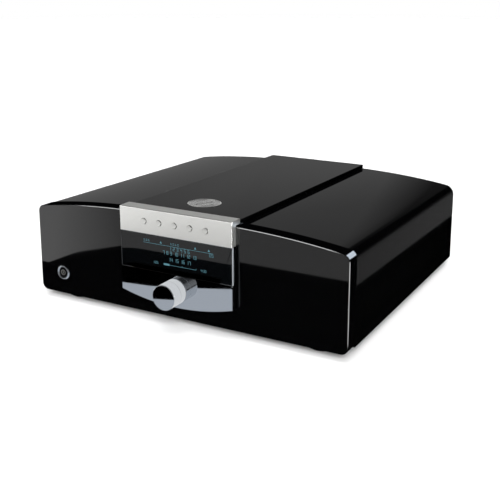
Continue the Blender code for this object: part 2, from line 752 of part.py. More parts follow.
def make_loading_gear(rubber, gear_finish, motor_finish):
    axis = (0, ROLLER_Y, ROLLER_HEIGHT)
    end = DRIVE_HALF - DRIVE_WALL - GAP
    waist = ROLLER_RADIUS - 0.4
    roller = [
        (0, -end), (1.5, -end), (1.5, -ROLLER_HALF), (ROLLER_RADIUS, -ROLLER_HALF),
        (waist, 0), (ROLLER_RADIUS, ROLLER_HALF), (1.5, ROLLER_HALF), (1.5, end), (0, end),
    ]
    turned("loading_roller", roller, "X", axis, rubber, 20)
    mesh_angle = -45.0
    reach = GEAR_MODULE * (ROLLER_TEETH + PINION_TEETH) / 2
    centre = (ROLLER_Y, ROLLER_HEIGHT)
    gear = prism(
        "roller_gear", gear_outline(centre, ROLLER_TEETH, mesh_angle), "X",
        GEAR_START, GEAR_START + GEAR_WIDTH, gear_finish, axis,
    )
    bore = round_bar(1.5 + SLIP, GEAR_START - 1, GEAR_START + GEAR_WIDTH + 1)
    cut(gear, turned("cut_gear", bore, "X", axis, gear_finish, 16))
    pinion_centre = (
        ROLLER_Y + reach * math.cos(math.radians(mesh_angle)),
        ROLLER_HEIGHT + reach * math.sin(math.radians(mesh_angle)),
    )
    gap_phase = mesh_angle + 180 + 180 / PINION_TEETH
    pinion_axis = (0, *pinion_centre)
    pinion = prism(
        "loading_pinion", gear_outline(pinion_centre, PINION_TEETH, gap_phase), "X",
        GEAR_START, GEAR_START + GEAR_WIDTH, gear_finish, pinion_axis,
    )
    motor_end = GEAR_START - 1
    stub = round_bar(1.0, motor_end - 2, GEAR_START + 1)
    join(pinion, turned("join_stub", stub, "X", pinion_axis, gear_finish, 12))
    motor = [
        (0, motor_end - 22), (6.8, motor_end - 22), (6.8, motor_end), (1 + SLIP, motor_end),
        (1 + SLIP, motor_end - 2 - GAP), (0, motor_end - 2 - GAP),
    ]
    turned("loading_motor", motor, "X", pinion_axis, motor_finish, 18)


def make_spindle(motor_finish, platter_finish, clamp_finish):
    centre = (0, SPINDLE_Y, 0)
    floor = DRIVE_BOTTOM + DRIVE_WALL + GAP
    motor_top = DISC_SEAT - 5
    shaft = 1.5
    motor = [
        (0, floor), (MOTOR_RADIUS, floor), (MOTOR_RADIUS, motor_top), (shaft + SLIP, motor_top),
        (shaft + SLIP, motor_top - 8), (0, motor_top - 8),
    ]
    turned("spindle_motor", motor, "Z", centre, motor_finish, 22)
    platter = [
        (0, motor_top - 7), (shaft, motor_top - 7), (shaft, DISC_SEAT - 2), (PLATTER_RADIUS, DISC_SEAT - 2),
        (PLATTER_RADIUS, DISC_SEAT), (HUB_RADIUS, DISC_SEAT), (HUB_RADIUS, DISC_SEAT + 1.2),
        (HUB_RADIUS - 1.2, DISC_SEAT + 2.2), (0, DISC_SEAT + 2.2),
    ]
    turned("turntable", platter, "Z", centre, platter_finish, 22)
    low = DISC_SEAT + 1.8 + CLAMP_TRAVEL
    lip = DRIVE_TOP + GAP + COVER_THICK + CLAMP_TRAVEL + 0.2
    stem = 4.0
    clamp = [
        (0, low + 1.6), (HUB_RADIUS + 1, low + 1.6), (HUB_RADIUS + 1, low), (CLAMP_RADIUS, low),
        (CLAMP_RADIUS, low + 5), (stem, low + 5), (stem, lip), (stem + 3, lip), (stem + 3, lip + 1.5),
        (0, lip + 1.5),
    ]
    turned("disc_clamp", clamp, "Z", centre, clamp_finish, 22)


def make_sled(sled_finish, lens_finish, rod_finish, screw_finish, motor_finish):
    front = SPINDLE_Y + SLED_FRONT
    middle = front + SLED_LENGTH / 2
    low, high = SLED_HEIGHT - SLED_HALF_HEIGHT, SLED_HEIGHT + SLED_HALF_HEIGHT
    side = ROD_SPACING / 2 + 3
    sled = block("pickup_sled", (-side, front, low), (side, front + SLED_LENGTH, high), sled_finish)
    nut = block("join_nut", (side - 1, middle - 4, low), (SCREW_X + 4, middle + 4, high), sled_finish)
    lens_foot = DISC_SEAT - 4.4
    tower = turned(
        "join_tower", round_bar(7, high - 1, lens_foot), "Z", (0, middle, 0), sled_finish, 24,
    )
    join(sled, nut, tower)
    for x, radius in ((-ROD_SPACING / 2, ROD_RADIUS), (ROD_SPACING / 2, ROD_RADIUS), (SCREW_X, SCREW_RADIUS)):
        bore = round_bar(radius + SLIP, front - 1, front + SLED_LENGTH + 1)
        cut(sled, turned("cut_sled", bore, "Y", (x, 0, SLED_HEIGHT), sled_finish, 16))
    lens = [(0, lens_foot + GAP), (5, lens_foot + GAP), (5, lens_foot + 1.3), (3.2, lens_foot + 2.2),
            (0, lens_foot + 2.8)]
    turned("pickup_lens", lens, "Z", (0, middle, 0), lens_finish, 24)
    rod_start = SPINDLE_Y + 11 + GAP
    end = DRIVE_REAR - DRIVE_WALL - GAP
    for side_name, x in (("left", -ROD_SPACING / 2), ("right", ROD_SPACING / 2)):
        rod = round_bar(ROD_RADIUS, rod_start, end)
        turned(f"guide_rod_{side_name}", rod, "Y", (x, 0, SLED_HEIGHT), rod_finish, 14)
    motor_end = SPINDLE_Y + 11
    thread_start = motor_end + 1
    turns = int((end - 2 - thread_start) / SCREW_PITCH)
    screw = [(0, motor_end - 2), (0.9, motor_end - 2), (0.9, thread_start)]
    for i in range(turns):
        crest = thread_start + SCREW_PITCH * i
        screw += [(SCREW_RADIUS, crest + 0.8), (SCREW_RADIUS - 0.4, crest + 2.2)]
    screw += [(0.9, end - 1), (0.9, end), (0, end)]
    turned("lead_screw", screw, "Y", (SCREW_X, 0, SLED_HEIGHT), screw_finish, 8)
    motor = [
        (0, motor_end - 16), (6, motor_end - 16), (6, motor_end), (0.9 + SLIP, motor_end),
        (0.9 + SLIP, motor_end - 2 - GAP), (0, motor_end - 2 - GAP),
    ]
    turned("sled_motor", motor, "Y", (SCREW_X, 0, SLED_HEIGHT), motor_finish, 18)


# ---------------------------------------------------------------- electronics
def board_on_legs(name, low, high, finish):
    board = block(name, (*low, PCB_HEIGHT), (*high, PCB_HEIGHT + PCB_THICK), finish)
    for x in (low[0] + PCB_LEG_INSET, high[0] - PCB_LEG_INSET):
        for y in (low[1] + PCB_LEG_INSET, high[1] - PCB_LEG_INSET):
            leg = round_bar(PCB_LEG, TRAY_THICK + GAP, PCB_HEIGHT + 1)
            join(board, turned("join_board_leg", leg, "Z", (x, y, 0), finish, 10))


def make_electronics(board_finish, winding, steel, can, sink_finish):
    inner = DRIVE_HALF + DRIVE_CLEAR
    outer = INNER_HALF - PCB_MARGIN
    board_rear = REAR_FACE - REAR_THICK - MAIN_BOARD_REAR
    board_on_legs("main_board", (inner, MAIN_BOARD_FRONT), (outer, board_rear), board_finish)
    toroid_x = TOROID_RADIUS + TOROID_SIDE - INNER_HALF
    toroid_y = CASE_DEPTH - TOROID_REAR
    power_rear = toroid_y - TOROID_RADIUS - TOROID_FRONT
    board_on_legs("power_board", (-outer, POWER_BOARD_FRONT), (-inner, power_rear), board_finish)
    low = TRAY_THICK + GAP
    middle = (TOROID_RADIUS + TOROID_HOLE) / 2
    inside = (TOROID_RADIUS - TOROID_HOLE) / 2 - TOROID_EDGE
    foot, head = low + TOROID_EDGE, low + TOROID_HEIGHT - TOROID_EDGE
    corners = ((inside, foot, -90), (inside, head, 0), (-inside, head, 90), (-inside, foot, 180))
    ring = []
    for aside, level, start in corners:
        ring += arc((middle + aside, level), TOROID_EDGE, start, start + 90, 2)
    turned("toroidal_transformer", ring, "Z", (toroid_x, toroid_y, 0), winding, 26)
    top = low + TOROID_HEIGHT + GAP
    bolt = [
        (0, low), (4, low), (4, top), (30, top), (30, top + 1.5), (8, top + 2.5), (7, top + 7), (0, top + 7),
    ]
    turned("transformer_bolt", bolt, "Z", (toroid_x, toroid_y, 0), steel, 16)
    base = PCB_HEIGHT + PCB_THICK + GAP
    can_top = base + CAPACITOR_HEIGHT
    profile = [
        (0, base), (CAPACITOR_RADIUS, base), (CAPACITOR_RADIUS, can_top - 1),
        (CAPACITOR_RADIUS - 1, can_top), (0, can_top),
    ]
    for name, x in (("left", -outer + CAPACITOR_INSET), ("right", -inner - CAPACITOR_INSET)):
        turned(f"capacitor_{name}", profile, "Z", (x, CAPACITOR_Y, 0), can, 24)
    comb_low, comb_high = -outer + SINK_INSET, -inner - SINK_INSET
    back = power_rear - SINK_INSET
    pitch = (comb_high - comb_low - FIN_THICK) / (SINK_FINS - 1)
    comb = [(comb_high, back), (comb_low, back)]
    for i in range(SINK_FINS):
        x = comb_low + pitch * i
        comb += [(x, back - SINK_DEPTH), (x + FIN_THICK, back - SINK_DEPTH)]
        if i < SINK_FINS - 1:
            comb += [(x + FIN_THICK, back - SINK_BASE), (x + pitch, back - SINK_BASE)]
    prism("heat_sink", comb, "Z", base, base + SINK_HEIGHT, sink_finish)


# ---------------------------------------------------------------- rear sockets
PHONO_PLACES = {
    "analogue_socket_left": (HALF - PHONO_INSET, SOCKET_ROW + PHONO_SPACING / 2),
    "analogue_socket_right": (HALF - PHONO_INSET, SOCKET_ROW - PHONO_SPACING / 2),
    "digital_socket": (HALF - DIGITAL_INSET, SOCKET_ROW),
}
NETWORK_X = HALF - NETWORK_INSET
NETWORK_BODY = (
    NETWORK_X - NETWORK_HALF_WIDTH, NETWORK_X + NETWORK_HALF_WIDTH,
    SOCKET_ROW - NETWORK_HALF_HEIGHT, SOCKET_ROW + NETWORK_HALF_HEIGHT,
)
INLET_X = INLET_INSET - HALF
INLET_BODY = (
    INLET_X - INLET_WIDTH / 2 + INLET_LIP, INLET_X + INLET_WIDTH / 2 - INLET_LIP,
    INLET_ROW - INLET_HEIGHT / 2 + INLET_LIP, INLET_ROW + INLET_HEIGHT / 2 - INLET_LIP,
)
FLANGE_FRONT = REAR_FACE + GAP


def make_phono_sockets(finish):
    end = CASE_DEPTH + SOCKET_REACH
    profile = [
        (0, REAR_FACE - 16), (PHONO_RADIUS, REAR_FACE - 16), (PHONO_RADIUS, FLANGE_FRONT),
        (6.6, FLANGE_FRONT), (6.6, FLANGE_FRONT + 1.8), (PHONO_RADIUS, FLANGE_FRONT + 2.2),
        (PHONO_RADIUS, end - 0.5), (PHONO_RADIUS - 0.5, end), (1.7, end), (1.7, end - 8), (0, end - 8),
    ]
    for name, (x, z) in PHONO_PLACES.items():
        turned(name, profile, "Y", (x, 0, z), finish, 16)


def make_balanced_sockets(shell_finish):
    """Male three-pin outlets: a flange, a barrel and three pins standing in its well."""
    for side, inset in zip(("left", "right"), XLR_INSETS):
        x = HALF - inset
        centre = (x, 0, SOCKET_ROW)
        left, right = x - XLR_HALF_WIDTH, x + XLR_HALF_WIDTH
        low, high = SOCKET_ROW - XLR_HALF_HEIGHT, SOCKET_ROW + XLR_HALF_HEIGHT
        corners = [(left, low), (right, low), (right, high), (left, high)]
        outline = []
        for i, corner in enumerate(corners):
            outline += round_corner(corners[i - 1], corner, corners[(i + 1) % 4], 3, 3)
        face = FLANGE_FRONT + XLR_FLANGE
        socket = prism(f"balanced_socket_{side}", outline, "Y", FLANGE_FRONT, face, shell_finish)
        barrel = round_bar(XLR_RADIUS, REAR_FACE - 18, FLANGE_FRONT + 1)
        join(socket, turned("join_barrel", barrel, "Y", centre, shell_finish, 24))
        floor = face - XLR_DEPTH
        cut(socket, turned("cut_well", round_bar(XLR_CAVITY, floor, face + 1), "Y", centre, shell_finish, 24))
        for angle in (30, 150, 270):
            turn = math.radians(angle)
            place = (x + PIN_CIRCLE * math.cos(turn), 0, SOCKET_ROW + PIN_CIRCLE * math.sin(turn))
            pin = round_bar(PIN_RADIUS, floor - 1, floor + PIN_LENGTH)
            join(socket, turned("join_pin", pin, "Y", place, shell_finish, 8))


def make_network_socket(finish):
    low_x, high_x, low_z, high_z = NETWORK_BODY
    face = REAR_FACE + 1
    socket = block("network_socket", (low_x, face - NETWORK_LENGTH, low_z), (high_x, face, high_z), finish)
    port = block(
        "cut_network", (low_x + NETWORK_WALL, face - PORT_DEPTH, low_z + NETWORK_WALL + 0.7),
        (high_x - NETWORK_WALL, face + 1, high_z - NETWORK_WALL - 1.3), finish,
    )
    cut(socket, port)


def make_mains_inlet(finish, rocker_finish):
    """Three-blade inlet and its rocker in one flanged moulding."""
    half_w, half_h = INLET_WIDTH / 2, INLET_HEIGHT / 2
    face = FLANGE_FRONT + INLET_FLANGE
    inlet = block(
        "mains_inlet", (INLET_X - half_w, FLANGE_FRONT, INLET_ROW - half_h),
        (INLET_X + half_w, face, INLET_ROW + half_h), finish,
    )
    low_x, high_x, low_z, high_z = INLET_BODY
    body = block(
        "join_inlet", (low_x, REAR_FACE - INLET_DEPTH, low_z), (high_x, FLANGE_FRONT + 1, high_z), finish,
    )
    join(inlet, body)
    socket_x = INLET_X + WELL_X
    rocker_x = INLET_X + ROCKER_X
    wide, tall = WELL_HALF_WIDTH, WELL_HALF_HEIGHT
    narrow, shoulder = wide - WELL_BEVEL, tall - WELL_BEVEL
    shape = [(-wide, -tall), (wide, -tall), (wide, shoulder), (narrow, tall), (-narrow, tall), (-wide, shoulder)]
    well = [(socket_x + x, INLET_ROW + z) for x, z in shape]
    cut(inlet, prism("cut_inlet_well", well, "Y", face - WELL_DEPTH, face + 1, finish))
    for dx, dz in ((-7, -2), (7, -2), (0, 2)):
        blade = block(
            "join_blade", (socket_x + dx - 1, face - WELL_DEPTH - 1, INLET_ROW + dz - 2),
            (socket_x + dx + 1, face - 6, INLET_ROW + dz + 2), finish,
        )
        join(inlet, blade)
    room_w = ROCKER_HALF_WIDTH + GAP
    room_h = ROCKER_HALF_HEIGHT + 1
    room = block(
        "cut_rocker", (rocker_x - room_w, face - ROCKER_ROOM, INLET_ROW - room_h),
        (rocker_x + room_w, face + 1, INLET_ROW + room_h), finish,
    )
    cut(inlet, room)
    pivot = (rocker_x, face - 3, INLET_ROW)
    front = 4.6
    section = [
        (front, -ROCKER_HALF_HEIGHT), (front - 1.6, 0), (front, ROCKER_HALF_HEIGHT),
        (-2, ROCKER_HALF_HEIGHT - 1), (-7, 2), (-7, -2), (-2, 1 - ROCKER_HALF_HEIGHT),
    ]
    placed = [(pivot[1] + y, pivot[2] + z) for y, z in section]
    rocker = prism(
        "mains_rocker", placed, "X", rocker_x - ROCKER_HALF_WIDTH, rocker_x + ROCKER_HALF_WIDTH,
        rocker_finish, pivot,
    )
    rocker.rotation_euler.x = math.radians(-ROCKER_TILT)


# ---------------------------------------------------------------- the player
clear_scene()
PLAYER = bpy.data.objects.new("player", None)
PLAYER.location = Vector((0, FRONT_FACE_Y, FOOT_HEIGHT)) * MM
bpy.context.collection.objects.link(PLAYER)

LACQUER = material("black_lacquer", 0x08080A, 0.06, 0.0)
BLACK_METAL = material("anodised_black", 0x141416, 0.35, 0.6)
SATIN = material("satin_aluminium", 0xC9CAC8, 0.3, 1.0)
CHROME = material("chrome", 0xC4C8CC, 0.05, 1.0)
SMOKED = material("smoked_glass", 0x050607, 0.03, 0.0)
STEEL = material("zinc_steel", 0xA8A9A6, 0.35, 1.0)
PLASTIC = material("black_plastic", 0x17171A, 0.5, 0.0)
BOARD_GREEN = material("circuit_board", 0x1E4A30, 0.5, 0.0)
RUBBER = material("rubber", 0x1A1A1A, 0.8, 0.0)
ACETAL = material("white_acetal", 0xD8D6CC, 0.45, 0.0)
COPPER = material("wound_copper", 0xA8652E, 0.4, 0.4)

make_front_panel(LACQUER)
make_case_shell(LACQUER)
make_base_tray(BLACK_METAL)
make_rear_panel(BLACK_METAL)
make_feet(LACQUER)
make_top_strip(LACQUER, SATIN)
make_fascia_frame(BLACK_METAL)
make_fascia_rail(SATIN)
make_display_glass(SMOKED)
make_chrome_plate(CHROME)
make_buttons(SATIN)
make_display(SMOKED, BOARD_GREEN)
make_knob(CHROME, STEEL, BLACK_METAL)
make_power_button(CHROME, BLACK_METAL, PLASTIC)
make_drive_frame(STEEL, STEEL)
make_loading_gear(RUBBER, ACETAL, STEEL)
make_spindle(STEEL, PLASTIC, PLASTIC)
make_sled(PLASTIC, SMOKED, STEEL, STEEL, STEEL)
make_electronics(BOARD_GREEN, COPPER, STEEL, PLASTIC, BLACK_METAL)
make_phono_sockets(STEEL)
make_balanced_sockets(STEEL)
make_network_socket(STEEL)
make_mains_inlet(PLASTIC, PLASTIC)
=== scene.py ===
"""The looks of a full-width slot-loading disc player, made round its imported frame.

Shapes are written in millimetres in case coordinates: X to the right as seen from the
front, Y from the front panel's face to the rear, Z up from the underside of the case.
"""
import math

import bmesh
import bpy
import numpy as np
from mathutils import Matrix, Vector


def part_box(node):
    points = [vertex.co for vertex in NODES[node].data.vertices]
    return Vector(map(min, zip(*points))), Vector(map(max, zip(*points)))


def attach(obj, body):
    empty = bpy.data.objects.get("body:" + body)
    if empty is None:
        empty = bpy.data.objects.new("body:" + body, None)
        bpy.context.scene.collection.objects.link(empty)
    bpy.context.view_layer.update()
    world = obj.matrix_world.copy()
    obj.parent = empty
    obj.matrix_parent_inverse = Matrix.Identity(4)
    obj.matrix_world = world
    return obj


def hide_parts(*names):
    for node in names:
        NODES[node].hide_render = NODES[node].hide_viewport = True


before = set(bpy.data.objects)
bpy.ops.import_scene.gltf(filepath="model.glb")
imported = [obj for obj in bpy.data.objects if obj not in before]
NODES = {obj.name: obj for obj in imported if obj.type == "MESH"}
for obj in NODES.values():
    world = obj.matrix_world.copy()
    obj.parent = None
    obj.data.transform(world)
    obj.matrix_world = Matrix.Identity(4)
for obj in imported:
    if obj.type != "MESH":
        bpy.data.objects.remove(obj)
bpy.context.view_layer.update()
MM = 0.001

ORIGIN = np.array([0.0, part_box("front_panel")[0].y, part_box("case_shell")[0].z]) / MM


def span(node):
    """Lowest and highest corner of a CAD node, in case millimetres."""
    low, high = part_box(node)
    return np.array(low) / MM - ORIGIN, np.array(high) / MM - ORIGIN


def middle_of(corners):
    """The point halfway between two corners."""
    return (corners[0] + corners[1]) / 2


def half_width(corners):
    """Half the distance between two corners along X."""
    return (corners[1][0] - corners[0][0]) / 2


# ---------------------------------------------------------------- sizes from the frame
PANEL = span("front_panel")
SHELL = span("case_shell")
STRIP = span("top_strip_cover")
EMBLEM = span("top_emblem")
RAIL = span("fascia_rail")
FRAME = span("fascia_frame")
GLASS = span("display_glass")
PLATE = span("chrome_plate")
DISPLAY = span("display_module")
KNOB = span("knob")
KNOB_Z = middle_of(KNOB)[2]
RING = span("power_button_ring")
POWER = span("power_button")
REAR = span("rear_panel")
HALF = PANEL[1][0]
CASE_DEPTH = SHELL[1][1]
PANEL_THICK = PANEL[1][1]
CROWN_TOP = PANEL[1][2]
FASCIA_HALF = RAIL[1][0]
STRIP_HALF = STRIP[1][0]

# ---------------------------------------------------------------- sizes of the finish
CROWN_DROP = 13.6          # the arch falls this much from its middle to the side
CROWN_POWER = 2.8
REAR_FALL = 6.4            # and this much along the case
SHELL_WALL = 4.0
SHELL_CORNER = 14.0
PANEL_CORNER = 9.0
PANEL_LIP = -PANEL[0][2]   # the front of the slab hangs this far below the case
LIP_THICK = 12.0           # and that part of it is this thick
PANEL_EDGE = 0.6
STRIP_RISE = 5.0
STRIP_EDGE = 0.8
RAIL_FLANGE = 6.2
RAIL_ROUND = 0.8
PLATE_EDGE = 0.35
SMILE_RISE = 11.3
SLOT_HALF = 63.5
SLOT_HEIGHT = 5.6
BUTTON_RADIUS = 3.5
BUTTON_GAP = 0.2
BUSH_RADIUS = 4.8          # the hole for the knob's bush
WINDOW_FOOT = 54.0         # lower edge of the slab's opening behind the display
FINE = 0.15                # radius on edges that feel sharp
ARCH_STEPS = 96
ROUND_STEPS = 96


# ---------------------------------------------------------------- flat paths
def corner_arc(before, corner, after, radius, steps=8):
    """An arc that touches the two straight runs that meet at a corner."""
    before, corner, after = (np.array(point, float) for point in (before, corner, after))
    back, ahead = ((v / np.linalg.norm(v)) for v in (before - corner, after - corner))
    half = math.acos(np.clip(back @ ahead, -1, 1)) / 2
    middle = back + ahead
    centre = corner + middle / np.linalg.norm(middle) * radius / math.sin(half)
    reach = radius / math.tan(half)
    first = corner + back * reach - centre
    last = corner + ahead * reach - centre
    sweep = math.pi - 2 * half
    t = np.linspace(0, 1, steps + 1)[:, None]
    return centre + (np.sin((1 - t) * sweep) * first + np.sin(t * sweep) * last) / math.sin(sweep)


def rounded(points, radii, closed=True, steps=6, hold=0.2):
    """Turns each corner into an arc, with a point just outside each end so that flat runs shade flat."""
    points = np.asarray(points, float)
    radii = np.broadcast_to(radii, len(points))
    runs = []
    for i, radius in enumerate(radii):
        before, after = points[i - 1], points[(i + 1) % len(points)]
        if radius == 0 or (not closed and i in (0, len(points) - 1)):
            runs.append(points[i:i + 1])
            continue
        arc = corner_arc(before, points[i], after, radius, steps)
        back = (before - points[i]) / np.linalg.norm(before - points[i])
        ahead = (after - points[i]) / np.linalg.norm(after - points[i])
        runs += [arc[:1] + back * hold, arc, arc[-1:] + ahead * hold]
    return np.concatenate(runs)


def offset(outline, inset):
    """Moves a closed outline inwards: each point goes along the mitre of its two edges' normals."""
    edge = np.roll(outline, -1, 0) - outline
    edge /= np.linalg.norm(edge, axis=1)[:, None]
    normal = np.stack([-edge[:, 1], edge[:, 0]], 1)
    before = np.roll(normal, 1, 0)
    mitre = (normal + before) / (1 + (normal * before).sum(1))[:, None]
    area = np.sum(outline[:, 0] * np.roll(outline[:, 1], -1) - np.roll(outline[:, 0], -1) * outline[:, 1])
    return outline + mitre * inset * np.sign(area)


def spread(outline, axis, level):
    """Puts a flat outline at a level along X, Y or Z."""
    filled = np.full(len(outline), float(level))
    u, v = outline[:, 0], outline[:, 1]
    order = {"X": (filled, u, v), "Y": (u, filled, v), "Z": (u, v, filled)}[axis]
    return np.stack(order, 1)


def rectangle(x0, x1, z0, z1, radius=0.0):
    """Four corners, rounded if a radius is given."""
    corners = [(x0, z0), (x1, z0), (x1, z1), (x0, z1)]
    return rounded(corners, radius) if radius else np.array(corners, float)


# ---------------------------------------------------------------- shells
def shell(grid, ring=False, finish=0):
    """Joins a grid's rows and columns by quads. The columns close round. The first and last rows
    are closed by flat faces, or joined to each other on a ring. finish is a slot, or one per row gap."""
    rows, columns = grid.shape[:2]
    index = np.arange(rows * columns).reshape(rows, columns)
    if ring:
        index = np.vstack([index, index[:1]])
    near, far = index[:-1], index[1:]
    quads = np.stack([near, np.roll(near, -1, 1), np.roll(far, -1, 1), far], -1)
    finishes = np.broadcast_to(np.reshape(finish, (-1, 1)), quads.shape[:2]).ravel()
    faces = quads.reshape(-1, 4).tolist()
    if not ring:
        faces += [index[0, ::-1].tolist(), index[-1].tolist()]
        finishes = np.append(finishes, [finishes[0], finishes[-1]])
    return grid.reshape(-1, 3), faces, finishes


def turned(profile, axis, centre, steps=ROUND_STEPS, ring=False, finish=0):
    """Turns (radius, level) points round an axis through the centre: radius times cosine and sine."""
    profile = np.asarray(profile, float)
    angle = np.linspace(0, 2 * math.pi, steps, endpoint=False)
    u = profile[:, :1] * np.cos(angle)
    v = profile[:, :1] * np.sin(angle)
    level = np.repeat(profile[:, 1:2], steps, 1)
    order = {"X": (level, u, v), "Y": (u, level, v), "Z": (u, v, level)}[axis]
    return shell(np.stack(order, -1) + np.array(centre, float), ring, finish)


def plate(outline, stations, axis, finish=0):
    """A flat outline carried through (inset, level) stations, which shape its edge."""
    loops = [spread(offset(outline, inset), axis, level) for inset, level in stations]
    return shell(np.stack(loops), finish=finish)


def slab(low, high, radius=FINE):
    """A block with eased edges."""
    outline = rectangle(low[0], high[0], low[1], high[1], radius * 2)
    edge = rounded([(radius * 3, low[2]), (0, low[2]), (0, high[2]), (radius * 3, high[2])], radius, False, 3)
    return plate(outline, edge, "Z")


def rib(path, width, low, high):
    """A bar of rectangular section along a flat path: the path moved half a width each way."""
    along = np.gradient(path, axis=0)
    along /= np.linalg.norm(along, axis=1)[:, None]
    aside = np.stack([-along[:, 1], along[:, 0]], 1) * width / 2
    corners = [(aside, low), (aside, high), (-aside, high), (-aside, low)]
    loops = [spread(path + side, "Z", level) for side, level in corners]
    return shell(np.stack(loops, 1))


def moved(part, shift=(0, 0, 0), tilt=0.0, about=(0, 0, 0)):
    """A shell tilted round the X direction about a point, then shifted."""
    points, faces, finishes = part
    cosine, sine = math.cos(tilt), math.sin(tilt)
    turn = np.array([[1, 0, 0], [0, cosine, -sine], [0, sine, cosine]])
    about = np.array(about, float)
    return (points - about) @ turn.T + about + np.array(shift, float), faces, finishes


def build(name, shells):
    """Gathers shells into one mesh in the frame's metres, with its faces turned outwards."""
    points, faces, finishes = [], [], []
    count = 0
    for part_points, part_faces, part_finishes in shells:
        points.append(part_points)
        faces += [[index + count for index in face] for face in part_faces]
        finishes.append(part_finishes)
        count += len(part_points)
    mesh = bpy.data.meshes.new(name)
    mesh.from_pydata(((np.concatenate(points) + ORIGIN) * MM).tolist(), [], faces)
    mesh.polygons.foreach_set("material_index", np.concatenate(finishes).astype(np.int32))
    shape = bmesh.new()
    shape.from_mesh(mesh)
    bmesh.ops.recalc_face_normals(shape, faces=shape.faces)
    shape.to_mesh(mesh)
    shape.free()
    made = bpy.data.objects.new(name, mesh)
    bpy.context.collection.objects.link(made)
    return made


def soften(made, angle=32):
    """Smooth shading, with edges sharper than an angle in degrees kept hard."""
    made.data.shade_smooth()
    made.data.set_sharp_from_angle(angle=math.radians(angle))


def carve(made, cutters):
    """Cuts shells out of a piece, and keeps the result as its mesh."""
    for number, cutter in enumerate(cutters):
        tool = build(f"cutter_{number}", [cutter])
        step = made.modifiers.new(tool.name, "BOOLEAN")
        step.operation = "DIFFERENCE"
        step.solver = "EXACT"
        step.object = tool
    evaluated = made.evaluated_get(bpy.context.evaluated_depsgraph_get())
    cut = bpy.data.meshes.new_from_object(evaluated)
    tools = [step.object for step in made.modifiers]
    made.modifiers.clear()
    made.data = cut
    for tool in tools:
        bpy.data.objects.remove(tool, do_unlink=True)


def piece(name, shells, finishes, body="case", stands_for=(), cutters=()):
    """One named piece of the player: its mesh, its finishes, its body and the CAD nodes it stands for."""
    made = build(name, shells)
    for finish in finishes:
        made.data.materials.append(finish)
    if cutters:
        carve(made, cutters)
    soften(made)
    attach(made, body)
    if stands_for:
        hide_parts(*stands_for)


# ---------------------------------------------------------------- materials
def linear(colour):
    """An sRGB hex number as linear colour."""
    channels = np.array([(colour >> shift & 255) / 255 for shift in (16, 8, 0)])
    curve = np.where(channels <= 0.04045, channels / 12.92, ((channels + 0.055) / 1.055) ** 2.4)
    return (*curve.tolist(), 1.0)


def add(tree, kind, inputs=None, **settings):
    """Adds a node with its settings; inputs holds values, or sockets to link from."""
    node = tree.nodes.new(kind)
    for name, value in settings.items():
        setattr(node, name, value)
    for key, value in (inputs or {}).items():
        if isinstance(value, bpy.types.NodeSocket):
            tree.links.new(value, node.inputs[key])
        else:
            node.inputs[key].default_value = value
    return node


def per(size):
    """A texture scale for features of a size in millimetres."""
    return 1 / (size * MM)


def base(name, colour, roughness, metallic=0.0, **sockets):
    """A new material's tree, shader and object coordinates."""
    made = bpy.data.materials.new(name)
    made.use_nodes = True
    tree = made.node_tree
    shader = tree.nodes["Principled BSDF"]
    shader.inputs["Base Color"].default_value = linear(colour)
    shader.inputs["Roughness"].default_value = roughness
    shader.inputs["Metallic"].default_value = metallic
    for key, value in sockets.items():
        shader.inputs[key.replace("_", " ")].default_value = value
    made.diffuse_color = linear(colour)
    place = add(tree, "ShaderNodeTexCoord").outputs["Object"]
    return made, tree, shader, place


def roughen(tree, shader, place, size, low, high, detail=4.0):
    """Roughness that wanders between two values over patches of a size."""
    noise = add(tree, "ShaderNodeTexNoise", {"Vector": place, "Scale": per(size), "Detail": detail})
    spread_out = add(tree, "ShaderNodeMapRange", {
        "Value": noise.outputs["Fac"], "From Min": 0.3, "From Max": 0.7, "To Min": low, "To Max": high})
    tree.links.new(spread_out.outputs["Result"], shader.inputs["Roughness"])


def hazed(name, colour, roughness, metallic, size, low, high, **sockets):
    """A finish whose only texture is a gloss that wanders."""
    made, tree, shader, place = base(name, colour, roughness, metallic, **sockets)
    roughen(tree, shader, place, size, low, high)
    return made


def piano_lacquer():
    """Sprayed and polished polyester lacquer: a deep black mirror with the faintest ripple and haze."""
    made, tree, shader, place = base("piano_lacquer", 0x060607, 0.04, IOR=1.5)
    roughen(tree, shader, place, 60, 0.03, 0.06)
    ripple = add(tree, "ShaderNodeTexNoise", {"Vector": place, "Scale": per(9), "Detail": 1.0})
    bump = add(tree, "ShaderNodeBump", {"Height": ripple.outputs["Fac"], "Distance": 0.002 * MM})
    tree.links.new(bump.outputs["Normal"], shader.inputs["Normal"])
    return made


def satin_aluminium():
    """Bead-blasted and anodised aluminium: pale, soft highlights, a grain of about a quarter millimetre."""
    made, tree, shader, place = base("satin_aluminium", 0xD9D9D6, 0.34, 1.0)
    grain = add(tree, "ShaderNodeTexNoise", {"Vector": place, "Scale": per(0.5), "Detail": 2.0})
    roughen(tree, shader, place, 1.2, 0.31, 0.38)
    bump = add(tree, "ShaderNodeBump", {"Height": grain.outputs["Fac"], "Distance": 0.01 * MM})
    tree.links.new(bump.outputs["Normal"], shader.inputs["Normal"])
    return made


def black_anodising():
    """Black anodised aluminium: matt, slightly metallic, with a fine grain."""
    made, tree, shader, place = base("black_anodising", 0x151517, 0.4, 0.6)
    grain = add(tree, "ShaderNodeTexNoise", {"Vector": place, "Scale": per(0.4), "Detail": 2.0})
    roughen(tree, shader, place, 2, 0.36, 0.46)
    bump = add(tree, "ShaderNodeBump", {"Height": grain.outputs["Fac"], "Distance": 0.012 * MM})
    tree.links.new(bump.outputs["Normal"], shader.inputs["Normal"])
    return made


